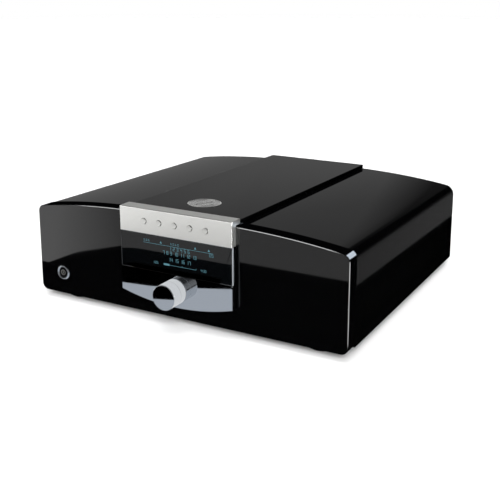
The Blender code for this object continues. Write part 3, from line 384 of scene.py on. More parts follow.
def powder_coat():
    """Powder-coated steel: black with an even pebbled texture of half a millimetre."""
    made, tree, shader, place = base("powder_coat", 0x161617, 0.55)
    pebbles = add(tree, "ShaderNodeTexVoronoi", {"Vector": place, "Scale": per(0.7)}, feature="SMOOTH_F1")
    roughen(tree, shader, place, 3, 0.5, 0.6)
    bump = add(tree, "ShaderNodeBump", {"Height": pebbles.outputs["Distance"], "Distance": 0.06 * MM})
    tree.links.new(bump.outputs["Normal"], shader.inputs["Normal"])
    return made


def zinc_plate():
    """Zinc-plated sheet steel: grey metal with soft spangles about six millimetres across."""
    made, tree, shader, place = base("zinc_plate", 0xA8A9A6, 0.35, 1.0)
    spangle = add(tree, "ShaderNodeTexVoronoi", {"Vector": place, "Scale": per(6)})
    tones = add(tree, "ShaderNodeMix", {
        "Factor": spangle.outputs["Color"], "A": linear(0x97999A), "B": linear(0xBDBEBB)}, data_type="RGBA")
    tree.links.new(tones.outputs["Result"], shader.inputs["Base Color"])
    roughen(tree, shader, place, 6, 0.28, 0.42)
    return made


def moulded_abs():
    """Injection-moulded black ABS with a light spark-eroded texture."""
    made, tree, shader, place = base("moulded_abs", 0x17171A, 0.5)
    spark = add(tree, "ShaderNodeTexNoise", {"Vector": place, "Scale": per(0.45), "Detail": 3.0})
    roughen(tree, shader, place, 4, 0.45, 0.56)
    bump = add(tree, "ShaderNodeBump", {"Height": spark.outputs["Fac"], "Distance": 0.02 * MM})
    tree.links.new(bump.outputs["Normal"], shader.inputs["Normal"])
    return made


def soft_rubber():
    """Matt nitrile rubber, a little dusty."""
    made, tree, shader, place = base("soft_rubber", 0x1B1B1B, 0.8)
    dust = add(tree, "ShaderNodeTexNoise", {"Vector": place, "Scale": per(1.5), "Detail": 5.0})
    tones = add(tree, "ShaderNodeMix", {
        "Factor": dust.outputs["Fac"], "A": linear(0x141414), "B": linear(0x262625)}, data_type="RGBA")
    tree.links.new(tones.outputs["Result"], shader.inputs["Base Color"])
    bump = add(tree, "ShaderNodeBump", {"Height": dust.outputs["Fac"], "Distance": 0.03 * MM})
    tree.links.new(bump.outputs["Normal"], shader.inputs["Normal"])
    return made


def solder_mask():
    """Green solder mask over copper tracks about a millimetre wide."""
    made, tree, shader, place = base("solder_mask", 0x1E4A30, 0.45)
    tracks = add(tree, "ShaderNodeTexVoronoi", {
        "Vector": place, "Scale": per(7), "Randomness": 0.85}, distance="MANHATTAN", feature="F2")
    edges = add(tree, "ShaderNodeValToRGB", {"Fac": tracks.outputs["Distance"]})
    edges.color_ramp.elements[0].position = 0.55
    edges.color_ramp.elements[0].color = linear(0x1B4029)
    edges.color_ramp.elements[1].position = 0.6
    edges.color_ramp.elements[1].color = linear(0x2C6A43)
    tree.links.new(edges.outputs["Color"], shader.inputs["Base Color"])
    bump = add(tree, "ShaderNodeBump", {"Height": edges.outputs["Color"], "Distance": 0.03 * MM})
    tree.links.new(bump.outputs["Normal"], shader.inputs["Normal"])
    return made


def enamelled_copper():
    """Wound enamelled wire under clear tape: warm copper with ridges a millimetre and a half apart."""
    made, tree, shader, place = base("enamelled_copper", 0xA8652E, 0.4, 0.4)
    wires = add(tree, "ShaderNodeTexWave", {
        "Vector": place, "Scale": per(1.5) / (2 * math.pi), "Distortion": 1.0}, bands_direction="Z")
    tones = add(tree, "ShaderNodeMix", {
        "Factor": wires.outputs["Fac"], "A": linear(0x8A4F22), "B": linear(0xB9763A)}, data_type="RGBA")
    tree.links.new(tones.outputs["Result"], shader.inputs["Base Color"])
    bump = add(tree, "ShaderNodeBump", {"Height": wires.outputs["Fac"], "Distance": 0.2 * MM})
    tree.links.new(bump.outputs["Normal"], shader.inputs["Normal"])
    return made


def fluorescent_glow():
    """Lit phosphor of a vacuum fluorescent display: pale cyan, with a faint dot grain."""
    made, tree, shader, place = base("fluorescent_glow", 0x0A1A1E, 0.3, Emission_Strength=0.42)
    dots = add(tree, "ShaderNodeTexNoise", {"Vector": place, "Scale": per(0.6), "Detail": 1.0})
    tones = add(tree, "ShaderNodeMix", {
        "Factor": dots.outputs["Fac"], "A": linear(0x4FA9C2), "B": linear(0xA6E4F2)}, data_type="RGBA")
    tree.links.new(tones.outputs["Result"], shader.inputs["Emission Color"])
    return made


LACQUER = piano_lacquer()
SATIN = satin_aluminium()
# A diamond-cut chamfer: bright metal with a very fine turned line.
BRIGHT = hazed("polished_aluminium", 0xE6E7E8, 0.12, 1.0, 3, 0.09, 0.16)
# Chrome plate: a cool mirror with a little polishing haze.
CHROME = hazed("mirror_chrome", 0xD2D6DB, 0.03, 1.0, 14, 0.02, 0.05)
# Chrome over very fine turned lines: bright and silky round the knob.
SATIN_CHROME = hazed("satin_chrome", 0xE6E8EA, 0.16, 1.0, 4, 0.14, 0.19)
# Dark tinted acrylic, polished: almost black, with clean reflections.
ACRYLIC = hazed("smoked_acrylic", 0x040506, 0.02, 0.0, 30, 0.015, 0.03, IOR=1.49)
# The window's machined edge: grey, silky, and lighter than the face.
SAWN_EDGE = hazed("sawn_acrylic_edge", 0x505356, 0.35, 0.0, 1.5, 0.3, 0.45)
ANODISED = black_anodising()
POWDER = powder_coat()
ZINC = zinc_plate()
ABS = moulded_abs()
RUBBER = soft_rubber()
# Moulded acetal: waxy off-white gears.
ACETAL = hazed("white_acetal", 0xDAD8CE, 0.42, 0.0, 2, 0.36, 0.5)
MASK = solder_mask()
COPPER = enamelled_copper()
# Gold-flashed brass on the signal sockets: warm and bright.
GOLD = hazed("gold_flash", 0xC9A257, 0.2, 1.0, 2, 0.15, 0.28)
# Moulded-in colour on the socket washers.
WHITE_MARK = hazed("white_marking", 0xD0D0CC, 0.45, 0.0, 1, 0.4, 0.52)
RED_MARK = hazed("red_marking", 0xA8241E, 0.45, 0.0, 1, 0.4, 0.52)
GLOW = fluorescent_glow()


# ---------------------------------------------------------------- case
def crown(x, y):
    """Height of the arched top: level over the front slab, falling evenly to the rear, and dropping
    from the middle with a power of the distance towards the side."""
    behind = max(0.0, y - PANEL_THICK) / (CASE_DEPTH - PANEL_THICK)
    return CROWN_TOP - REAR_FALL * behind - CROWN_DROP * np.abs(x / HALF) ** CROWN_POWER


def arch(half, y, drop, corner):
    """Left corner, arched top and right corner, from left to right."""
    reach = half - corner * 1.2
    x = np.linspace(-reach, reach, ARCH_STEPS + 1)
    top = np.stack([x, crown(x, y) - drop], 1)
    edge = float(crown(half, y)) - drop
    left = corner_arc((-half, 0), (-half, edge), top[0], corner, 14)
    right = corner_arc(top[-1], (half, edge), (half, 0), corner, 14)
    return np.concatenate([left, top[1:-1], right])


def front_slab():
    """The thick lacquered front panel: one outline carried back from its bright cut edge, with a lip that
    hangs below the case and stops short of the rear."""
    top = arch(HALF, 0, 0, PANEL_CORNER)
    foot = -PANEL_LIP
    low_right = corner_arc((HALF, 50), (HALF, foot), (0, foot), PANEL_CORNER, 12)
    low_left = corner_arc((0, foot), (-HALF, foot), (-HALF, 50), PANEL_CORNER, 12)
    outline = np.concatenate([top, low_right, low_left])
    rear = np.stack([outline[:, 0], np.maximum(outline[:, 1], 0.0)], 1)
    front_edge = [(PANEL_EDGE + 1, 0), (PANEL_EDGE + 0.1, 0), (PANEL_EDGE, 0), (0, PANEL_EDGE),
                  (0, PANEL_EDGE + 0.1), (0, LIP_THICK)]
    loops = [spread(offset(outline, inset), "Y", level) for inset, level in front_edge]
    loops += [spread(rear, "Y", level) for level in (LIP_THICK + 0.05, PANEL_THICK)]
    bands = [0, 0, 1, 0, 0, 0, 0]
    board_low, board_high = span("control_board")
    window = slab((board_low[0] - 3, -5, WINDOW_FOOT), (board_high[0] + 3, PANEL_THICK + 5, board_high[2] + 1), 0.3)
    encoder = slab((-9, -5, KNOB_Z - 9), (9, PANEL_THICK + 5, KNOB_Z + 9), 0.3)
    x, z = power_centre()
    ring = half_width(RING)
    stem = half_width(POWER) + 0.6
    seat = [(stem, PANEL_THICK + 5), (stem, RING[1][1] + 0.3), (ring + 0.3, RING[1][1] + 0.3),
            (ring + 0.3, 0.3), (ring + 0.9, -0.3), (ring + 0.9, -2)]
    bore = turned(seat, "Y", (x, 0, z))
    piece("front_panel_slab", [shell(np.stack(loops), finish=bands)], [LACQUER, BRIGHT],
          stands_for=["front_panel"], cutters=[window, encoder, bore])


def power_centre():
    """X and Z of the power button's axis."""
    x, _, z = middle_of(RING)
    return x, z


def case_cover():
    """Sides and arched top in one folded wall: an outer arch and an inner one, joined at the feet."""
    start, end = SHELL[0][1], SHELL[1][1]
    inner_half = HALF - SHELL_WALL

    def section(y):
        outer = arch(HALF, y, 0, SHELL_CORNER)
        inner = arch(inner_half, y, SHELL_WALL, SHELL_CORNER - SHELL_WALL)[::-1]
        left_foot = [(-inner_half, 0), (-HALF, 0)]
        right_foot = [(HALF, 0), (inner_half, 0)]
        return np.concatenate([left_foot, outer, right_foot, inner])

    ends = rounded([(1.5, start), (0, start), (0, end), (1.5, end)], 0.6, False, 4)
    middle = np.linspace(start, end, 9)[1:-1]
    half_way = len(ends) // 2
    stations = np.concatenate([ends[:half_way], np.stack([middle * 0, middle], 1), ends[half_way:]])
    loops = [spread(offset(section(y), inset), "Y", y) for inset, y in stations]
    piece("case_cover", [shell(np.stack(loops))], [LACQUER], stands_for=["case_shell"])


def strip_top(y):
    """Height of the strip: the crown's middle and the strip's rise."""
    return float(crown(0.0, y)) + STRIP_RISE


STRIP_SLOPE = math.atan2(strip_top(CASE_DEPTH) - strip_top(PANEL_THICK), CASE_DEPTH - PANEL_THICK)


def lid_strip():
    """The raised strip along the lid: flat above with eased edges, fitted to the arch below."""
    start, end = STRIP[0][1], STRIP[1][1]
    centre = middle_of(EMBLEM)
    radius = half_width(EMBLEM)

    def section(y):
        top = strip_top(y)
        x = np.linspace(STRIP_HALF, -STRIP_HALF, 25)
        under = np.stack([x, crown(x, y) + 0.3], 1)
        left = corner_arc((-STRIP_HALF, 0), (-STRIP_HALF, top), (0, top), STRIP_EDGE, 6)
        right = corner_arc((0, top), (STRIP_HALF, top), (STRIP_HALF, 0), STRIP_EDGE, 6)
        hold = np.array([[1.2 - STRIP_HALF, top], [STRIP_HALF - 1.2, top]])
        return np.concatenate([under, left, hold, right])

    ends = rounded([(1.0, start), (0, start), (0, PANEL_THICK), (0, end), (1.0, end)],
                   [0, 0.5, 0, 0.5, 0], False, 4)
    loops = [spread(offset(section(y), inset), "Y", y) for inset, y in ends]
    about = (0, centre[1], strip_top(centre[1]))
    pocket = turned([(radius + 0.3, -1.0), (radius + 0.3, -0.2), (radius + 0.6, 0.2), (radius + 0.6, 3)],
                    "Z", about)
    piece("lid_strip", [shell(np.stack(loops))], [LACQUER], stands_for=["top_strip_cover"],
          cutters=[moved(pocket, tilt=STRIP_SLOPE, about=about)])
    lid_emblem(about, radius)


def lid_emblem(about, radius):
    """An inlaid disc with fine rings and a six-petalled rosette of arcs in relief."""
    x, y, z = about
    foot = -0.7
    disc = rounded([(radius - 1, foot), (radius, foot), (radius, 0), (radius - 1, 0)], [0, 0.1, 0.2, 0], False, 4)
    parts = [turned(disc, "Z", about)]
    for middle, width in ((0.95, 0.9), (0.8, 0.45), (0.6, 0.45)):
        inner, outer = radius * middle - width / 2, radius * middle + width / 2
        section = [(inner, -0.1), (outer, -0.1), (outer, 0.2), (inner, 0.2)]
        parts.append(turned(section, "Z", about, ring=True, finish=1))
    petal = radius * 0.6
    for k in range(6):
        heading = math.radians(60 * k)
        middle = np.array([x + petal * math.cos(heading), y + petal * math.sin(heading)])
        turn = np.linspace(heading + math.pi * 2 / 3, heading + math.pi * 4 / 3, 25)
        path = middle + petal * np.stack([np.cos(turn), np.sin(turn)], 1)
        points, faces, finishes = rib(path, 0.55, z - 0.1, z + 0.2)
        parts.append((points, faces, finishes + 1))
    placed = [moved(part, tilt=STRIP_SLOPE, about=about) for part in parts]
    piece("lid_emblem", placed, [LACQUER, SATIN], stands_for=["top_emblem"])


def feet():
    """Turned feet: a lacquered cup over a narrower rubber pad."""
    for end in ("front", "rear"):
        for side in ("left", "right"):
            name = f"foot_{end}_{side}"
            low, high = span(name)
            radius = half_width((low, high))
            bottom, top = low[2], high[2]
            profile = rounded([
                (4, bottom), (radius - 4, bottom), (radius - 3.4, bottom + 2), (radius, bottom + 2.2),
                (radius, top), (4, top)], [0, 0.4, 0.2, 0.8, 0.3, 0], False, 4)
            finishes = np.where(profile[1:, 1] < bottom + 1.9, 1, 0)
            centre = middle_of((low, high)) * (1, 1, 0)
            piece(f"{name}_turned", [turned(profile, "Z", centre, finish=finishes)], [LACQUER, RUBBER],
                  stands_for=[name])


# ---------------------------------------------------------------- fascia
def smile(low, rise, half, steps=64):
    """The fascia's lower edge from right to left: one arc, lowest in the middle."""
    radius = (half ** 2 + rise ** 2) / (2 * rise)
    x = np.linspace(half, -half, steps + 1)
    return np.stack([x, low + radius - np.sqrt(radius ** 2 - x ** 2)], 1)


def fascia_back():
    """The black frame behind the glass and the chrome."""
    low, high = FRAME
    top = [(-FASCIA_HALF, high[2]), (FASCIA_HALF, high[2])]
    outline = np.concatenate([top, smile(low[2], SMILE_RISE, FASCIA_HALF)])
    edge = rounded([(1, low[1]), (0, low[1]), (0, high[1]), (1, high[1])], FINE, False, 3)
    display_low, display_high = DISPLAY
    window = slab((display_low[0] - 1.5, low[1] - 3, display_low[2] - 1.5),
                  (display_high[0] + 1.5, high[1] + 3, display_high[2] + 1.5), 0.2)
    foot = GLASS[0][2]
    slot = slab((-SLOT_HALF, low[1] - 3, foot), (SLOT_HALF, high[1] + 3, foot + SLOT_HEIGHT), 0.1)
    bush = turned([(BUSH_RADIUS, low[1] - 3), (BUSH_RADIUS, high[1] + 3)], "Y", (0, 0, KNOB_Z), 48)
    piece("fascia_back", [plate(outline, edge, "Y")], [ANODISED],
          stands_for=["fascia_frame"], cutters=[window, slot, bush])


def dark_glass():
    """The smoked window, notched at its foot for the disc, with machined edges."""
    low, high = GLASS
    foot = low[2]
    outline = rounded([
        (-FASCIA_HALF, high[2]), (FASCIA_HALF, high[2]), (FASCIA_HALF, foot), (SLOT_HALF, foot),
        (SLOT_HALF, foot + SLOT_HEIGHT), (-SLOT_HALF, foot + SLOT_HEIGHT), (-SLOT_HALF, foot),
        (-FASCIA_HALF, foot)], [0.3, 0.3, 0.3, 0.5, 1.2, 1.2, 0.5, 0.3])
    edge = rounded([(1, low[1]), (0, low[1]), (0, high[1]), (1, high[1])], [0, 0.3, 0.15, 0], False, 4)
    bands = [0] + [1] * (len(edge) - 3) + [0]
    piece("smoked_window", [plate(outline, edge, "Y", bands)], [ACRYLIC, SAWN_EDGE],
          stands_for=["display_glass"])


def chrome_smile():
    """The mirror plate below the glass: flat face, cut edge, curved foot."""
    low, high = PLATE
    outline = np.concatenate([
        [(-FASCIA_HALF, high[2]), (FASCIA_HALF, high[2])], smile(low[2], SMILE_RISE, FASCIA_HALF)])
    front = low[1]
    stations = [(PLATE_EDGE + 1, front), (PLATE_EDGE + 0.1, front), (PLATE_EDGE, front),
                (0, front + PLATE_EDGE), (0, front + PLATE_EDGE + 0.1), (0, high[1] - 0.1),
                (0.1, high[1]), (1, high[1])]
    hole = turned([(BUSH_RADIUS, high[1] + 2), (BUSH_RADIUS, front + 0.3), (BUSH_RADIUS + 0.5, front - 0.2),
                   (BUSH_RADIUS + 0.5, front - 2)], "Y", (0, 0, KNOB_Z), 64)
    bands = [0, 0, 0, 1, 1, 1, 0]
    piece("chrome_smile", [plate(outline, stations, "Y", bands)], [CHROME, BRIGHT],
          stands_for=["chrome_plate"], cutters=[hole])


BUTTONS = ("previous", "stop", "play", "pause", "next")


def button_centre(name):
    """The middle of a rail button's front face."""
    corners = span(f"{name}_button")
    x, _, z = middle_of(corners)
    return x, corners[0][1], z


def rail():
    """The satin angle above the glass: an L section with a rounded shoulder, carried from side to side."""
    low, high = RAIL
    inside = high[2] - RAIL_FLANGE
    section = rounded([
        (low[1], low[2]), (low[1], high[2]), (high[1], high[2]), (high[1], inside),
        (PANEL[0][1] - 0.3, inside), (PANEL[0][1] - 0.3, low[2])],
        [0.3, RAIL_ROUND, 0.4, 0.2, 0.3, 0.2], steps=8)
    ends = rounded([(1, low[0]), (0, low[0]), (0, high[0]), (1, high[0])], 0.35, False, 4)
    holes = []
    for name in BUTTONS:
        x, _, z = button_centre(name)
        radius = BUTTON_RADIUS + BUTTON_GAP
        front = low[1]
        holes.append(turned([(radius, 5), (radius, front + 0.35), (radius + 0.35, front), (radius + 0.8, front - 3)],
                            "Y", (x, 0, z), 48))
    piece("satin_rail", [plate(section, ends, "X")], [SATIN], stands_for=["fascia_rail"],
          cutters=holes)


def rail_buttons():
    """Turned caps with a shallow dish, a collar behind the rail and a stem."""
    for name in BUTTONS:
        low, high = span(f"{name}_button")
        x, front, z = button_centre(name)
        collar = half_width((low, high))
        radius = BUTTON_RADIUS
        wall = PANEL[0][1] + 0.2
        profile = rounded([
            (0.6, front + 0.12), (radius - 0.9, front + 0.04), (radius, front), (radius, wall), (collar, wall),
            (collar, wall + 1), (1.4, wall + 1), (1.4, high[1]), (0.4, high[1])],
            [0, 0.6, 0.35, 0.1, 0.1, 0.1, 0.1, 0.2, 0], False, 5, 0.1)
        piece(f"{name}_cap", [turned(profile, "Y", (x, 0, z), 64)], [SATIN],
              body=f"{name}_button", stands_for=[f"{name}_button"])


def knob():
    """A chrome cylinder: a mirror face, a silky side, eased rims and one fine groove round it."""
    low, high = KNOB
    radius = half_width(KNOB)
    face, root = low[1], high[1]
    centre = (0, 0, KNOB_Z)
    groove = face + 0.6 * (root - face)
    front = rounded([(radius - 2.5, face), (radius, face), (radius, groove - 0.3)], [0, 0.7, 0], False, 6, 0.15)
    dip = [(radius - 0.35, groove - 0.2), (radius - 0.35, groove + 0.2), (radius, groove + 0.3)]
    rear = rounded([
        (radius, groove + 1), (radius, root), (radius - 3, root), (radius - 3, root - 3), (3.3, root - 3),
        (3.3, face + 6), (1, face + 6)], [0, 0.4, 0.2, 0.2, 0.2, 0.2, 0], False, 5, 0.15)
    profile = np.concatenate([front, dip, rear])
    side = (profile[1:, 0] > radius - 0.5) & (profile[1:, 1] > face + 0.6)
    piece("chrome_knob", [turned(profile, "Y", centre, 128, finish=np.where(side, 1, 0))],
          [CHROME, SATIN_CHROME], body="knob", stands_for=["knob"])


def power_control():
    """A chrome ring round a dark dished button that carries a plain ring-and-bar mark."""
    x, z = power_centre()
    low, high = RING
    outer = half_width(RING)
    button = half_width(POWER)
    inner = button + 0.3
    front, back = low[1], high[1]
    section = rounded([
        (inner, front + 1.3), (inner + 1.3, front), (outer - 1.3, front), (outer, front + 1.3), (outer, back),
        (inner, back)], [0.5, 0.8, 0.8, 0.5, 0.2, 0.2], True, 5, 0.03)
    piece("power_bezel", [turned(section, "Y", (x, 0, z), ring=True)], [CHROME],
          stands_for=["power_button_ring"])
    face = POWER[0][1]
    end = POWER[1][1]
    profile = rounded([
        (1, face + 0.5), (button - 1.2, face + 0.35), (button, face), (button, 6), (2.4, 6), (2.4, end), (1, end)],
        [0, 0.8, 0.4, 0.2, 0.2, 0.3, 0], False, 5, 0.1)
    ring_mark = turned([(2.7, 0.1), (3.7, 0.1), (3.7, 0.5), (2.7, 0.5)], "Y", (x, face, z), 48, True, finish=1)
    bar_low = (x - 0.6, face + 0.05, z - 1.6)
    points, faces, finishes = slab(bar_low, (x + 0.6, face + 0.5, z + 1.6), 0.05)
    piece("power_cap", [turned(profile, "Y", (x, 0, z), 64), ring_mark, (points, faces, finishes + 1)],
          [ANODISED, SATIN], body="power_button", stands_for=["power_button"])


# ---------------------------------------------------------------- display
SEGMENTS = {
    "0": "abcdef", "1": "bc", "2": "abged", "3": "abgcd", "4": "fgbc",
    "5": "afgcd", "6": "afgedc", "7": "abc", "8": "abcdefg", "9": "abcdfg",
}


def lit(x0, x1, z0, z1):
    """A lit bar just in front of the glass."""
    front = GLASS[0][1]
    outline = rectangle(x0, x1, z0, z1)
    return plate(outline, [(0, front - 0.12), (0, front - 0.02)], "Y")


def digit(character, x, z, height):
    """Seven bars in two stacked squares, as wide as just over half the height."""
    width, bar = height * 0.56, height * 0.09
    middle = z + height / 2
    places = {
        "a": (x, x + width, z + height - bar, z + height), "g": (x, x + width, middle - bar / 2, middle + bar / 2),
        "d": (x, x + width, z, z + bar), "f": (x, x + bar, middle, z + height), "e": (x, x + bar, z, middle),
        "b": (x + width - bar, x + width, middle, z + height), "c": (x + width - bar, x + width, z, middle),
    }
    return [lit(*places[segment]) for segment in SEGMENTS[character]]


def number_row(text, x, z, height):
    """Digits side by side; a space leaves a gap and a colon is two dots."""
    bars = []
    for character in text:
        if character == ":":
            dot = height * 0.14
            bars += [lit(x, x + dot, z + height * share, z + height * share + dot) for share in (0.25, 0.6)]
            x += height * 0.3
        elif character == " ":
            x += height * 0.45
        else:
            bars += digit(character, x, z, height)
            x += height * 0.75
    return bars


def row_width(text, height):
    """How wide number_row draws a text."""
    widths = {":": 0.3, " ": 0.45}
    return height * sum(widths.get(character, 0.75) for character in text)


def display_graphics():
    """The lit picture: a header with icons, three rows of track numbers, and a bar for elapsed time."""
    low, high = DISPLAY
    width = high[0] - low[0]
    height = high[2] - low[2]

    def across(share):
        return low[0] + share * width

    def up(share):
        return low[2] + share * height

    bars = []
    rule = up(0.79)
    bars.append(lit(across(0.135), across(0.92), rule, rule + 0.35))
    for start, count in ((0.14, 3), (0.45, 4)):
        for k in range(count):
            x = across(start) + 3.4 * k
            bars.append(lit(x, x + 2.3, up(0.86), up(0.86) + 0.5))
            bars.append(lit(x, x + 1.5 + 0.4 * (k % 2), up(0.91), up(0.91) + 0.5))
    for share in (0.33, 0.72, 0.87):
        x = across(share)
        bars.append(lit(x, x + 2.6, up(0.85), up(0.85) + 1.1))
        bars.append(lit(x + 0.7, x + 1.9, up(0.85) + 1.1, up(0.85) + 2.4))
    bars += number_row("05", across(0.885), up(0.66), 4.4)
    tall = 4.5
    for text, level in (("1 2 3 4 5 6", 0.64), ("7 8 9 10 11 12 13", 0.46), ("14 15 16 17", 0.21)):
        start = across(0.555) - row_width(text, tall) / 2
        bars += number_row(text, start, up(level), tall)
    bars += number_row("1:25", across(0.245), up(0.03), 3.2)
    bars += number_row("4:30", across(0.79), up(0.03), 3.2)
    bars.append(lit(across(0.37), across(0.435), up(0.035), up(0.035) + 2.4))
    line = up(0.06)
    bars.append(lit(across(0.435), across(0.735), line, line + 0.35))
    for share in (0.58, 0.735):
        bars.append(lit(across(share), across(share) + 0.4, line, line + 1.8))
    piece("display_lights", bars, [GLOW])


# ---------------------------------------------------------------- rear
def phono_sockets():
    """Gold barrels with a coloured washer and a hollow black core."""
    washers = {"analogue_socket_left": WHITE_MARK, "analogue_socket_right": RED_MARK, "digital_socket": GOLD}
    for name, mark in washers.items():
        low, high = span(name)
        centre = middle_of((low, high)) * (1, 0, 1)
        end, face = high[1], REAR[1][1]
        barrel = 4.15
        nut = half_width((low, high))
        profile = rounded([
            (2, low[1]), (barrel, low[1]), (barrel, face + 0.3), (nut, face + 0.3), (nut, face + 2),
            (barrel + 0.2, face + 2.6), (barrel, end), (3.3, end), (3.3, end - 8), (1.7, end - 8), (1.7, end - 2),
            (1.2, end - 2), (1.2, end - 8.5), (0.3, end - 8.5)],
            [0, 0.3, 0.1, 0.2, 0.3, 0.4, 0.4, 0.2, 0.1, 0.1, 0.2, 0.1, 0.1, 0], False, 4, 0.05)
        radial, level = profile[1:, 0], profile[1:, 1]
        core = (radial < 3.2) & (level > end - 9)
        washer = (level > face + 0.25) & (level < face + 2.2) & (radial > barrel + 0.3)
        finishes = np.where(core, 1, np.where(washer, 2, 0))
        piece(f"{name}_barrel", [turned(profile, "Y", centre, 64, finish=finishes)],
              [GOLD, ABS, mark], stands_for=[name])


def balanced_sockets():
    """Flanged three-pin outlets: a plate with eased corners, a deep round well and three gold pins."""
    for side in ("left", "right"):
        name = f"balanced_socket_{side}"
        low, high = span(name)
        x, _, z = middle_of((low, high))
        face = high[1]
        outline = rectangle(low[0], high[0], low[2], high[2], 3)
        edge = rounded([(1.5, face - 2), (0, face - 2), (0, face), (1.5, face)], [0, 0.2, 0.6, 0], False, 4)
        parts = [plate(outline, edge, "Y")]
        barrel = rounded([
            (10.4, face - 0.05), (11.2, face - 0.05), (11.2, low[1]), (3, low[1])], [0, 0.1, 0.4, 0], False, 3)
        parts.append(turned(barrel, "Y", (x, 0, z), 64))
        floor = face - 15
        well = turned([(9.2, floor), (9.2, face - 0.6), (9.8, face), (9.8, face + 2)], "Y", (x, 0, z), 64)
        piece(f"{name}_shell", parts, [ANODISED], stands_for=[name], cutters=[well])
        pins = []
        for angle in (30, 150, 270):
            turn = math.radians(angle)
            centre = (x + 4.6 * math.cos(turn), 0, z + 4.6 * math.sin(turn))
            pin = rounded([(0.5, floor - 0.5), (1.2, floor - 0.5), (1.2, floor + 9), (0.5, floor + 9)],
                          [0, 0.1, 0.5, 0], False, 4, 0.05)
            pins.append(turned(pin, "Y", centre, 24))
        piece(f"{name}_pins", pins, [GOLD])


def rear_screws():
    """Domed cross-head screws round the rear panel."""
    face = REAR[1][1]
    low, high = REAR
    places = [(x, z) for z in (low[2] + 8, high[2] - 34) for x in (low[0] + 9, high[0] - 9)]
    places += [(x, low[2] + 8) for x in (-110, 0, 110)]
    places += [(x, float(crown(x, CASE_DEPTH)) - 14) for x in (-110, 0, 110)]
    heads, slots = [], []
    for x, z in places:
        dome = rounded([(2.9, face - 0.2), (2.9, face + 0.5), (1.4, face + 1.5), (0.4, face + 1.55)],
                       [0, 0.3, 0.8, 0], False, 4, 0.05)
        heads.append(turned(dome, "Y", (x, 0, z), 32))
        slots.append(slab((x - 1.5, face + 0.7, z - 0.3), (x + 1.5, face + 3, z + 0.3), 0.05))
        slots.append(slab((x - 0.3, face + 0.7, z - 1.5), (x + 0.3, face + 3, z + 1.5), 0.05))
    piece("rear_panel_screws", heads, [ZINC], cutters=slots)


# ---------------------------------------------------------------- CAD nodes that stay in view or inside
def finish_cad_nodes():
    """Each node that keeps its CAD shape gets the finish of what it is."""
    finishes = {
        "base_tray": POWDER, "rear_panel": POWDER, "display_module": ACRYLIC, "control_board": MASK,
        "encoder_shaft": ZINC, "encoder_body": ABS, "power_switch": ABS, "drive_chassis": ZINC,
        "drive_cover": ZINC, "loading_roller": RUBBER, "roller_gear": ACETAL, "loading_pinion": ACETAL,
        "loading_motor": ZINC, "spindle_motor": ZINC, "turntable": ABS, "disc_clamp": ABS,
        "pickup_sled": ABS, "pickup_lens": ACRYLIC, "guide_rod_left": ZINC, "guide_rod_right": ZINC,
        "lead_screw": ZINC, "sled_motor": ZINC, "main_board": MASK, "power_board": MASK,
        "toroidal_transformer": COPPER, "transformer_bolt": ZINC, "capacitor_left": ABS,
        "capacitor_right": ABS, "heat_sink": ANODISED, "network_socket": ZINC, "mains_inlet": ABS,
        "mains_rocker": ABS,
    }
    for name, finish in finishes.items():
        for held in NODES[name].material_slots:
            held.material = finish


# ---------------------------------------------------------------- studio
def staged(name, points, faces):
    """A mesh in metres that isn't part of the object."""
    mesh = bpy.data.meshes.new(name)
    mesh.from_pydata(points, [], faces)
    made = bpy.data.objects.new(name, mesh)
    bpy.context.collection.objects.link(made)
    return made


def floor_sheet(name, outline, level, hole=None):
    """A flat level sheet in millimetres, with a hole of as many points as its outline."""
    points = spread(np.asarray(outline, float), "Z", level)
    faces = [list(range(len(points)))]
    if hole is not None:
        inner = spread(np.asarray(hole, float), "Z", level)
        faces = [[i, (i + 1) % len(points), len(points) + (i + 1) % len(points), len(points) + i]
                 for i in range(len(points))]
        points = np.concatenate([points, inner])
    return staged(name, (points * MM).tolist(), faces)


def glowing(name, colour, strength):
    """A card that shines evenly."""
    made = bpy.data.materials.new(name)
    made.use_nodes = True
    tree = made.node_tree
    tree.nodes.clear()
    light = add(tree, "ShaderNodeEmission", {"Color": linear(colour), "Strength": strength})
    out = add(tree, "ShaderNodeOutputMaterial")
    tree.links.new(light.outputs["Emission"], out.inputs["Surface"])
    return made


def only_reflected(made):
    """A card that gloss and metal mirror, and that nothing else sees."""
    made.visible_camera = False
    made.visible_diffuse = False
    made.visible_shadow = False
    made.visible_transmission = False


def seen_only_by(made, names):
    """Links a light or a card to named pieces, so that it leaves the rest alone."""
    receivers = bpy.data.collections.new(f"{made.name}_receivers")
    for name in names:
        receivers.objects.link(bpy.data.objects[name])
    made.light_linking.receiver_collection = receivers


def floor():
    """A pale floor that the camera and soft light see; the gloss sees the cards instead."""
    side = 9000
    made = floor_sheet("floor", rectangle(-side, side, -side, side), 0)
    matt = bpy.data.materials.new("pale_floor")
    matt.use_nodes = True
    shader = matt.node_tree.nodes["Principled BSDF"]
    shader.inputs["Base Color"].default_value = linear(0xF6F6F6)
    shader.inputs["Roughness"].default_value = 0.9
    shader.inputs["Specular IOR Level"].default_value = 0.0
    shader.inputs["Emission Color"].default_value = linear(0xFFFFFF)
    shader.inputs["Emission Strength"].default_value = 0.02
    made.data.materials.append(matt)
    made.visible_glossy = False


def lacquered():
    """Every mesh made so far, apart from the front slab, whose edge has cards of its own."""
    return [made.name for made in bpy.data.objects if made.type == "MESH" and made.name != "front_panel_slab"]


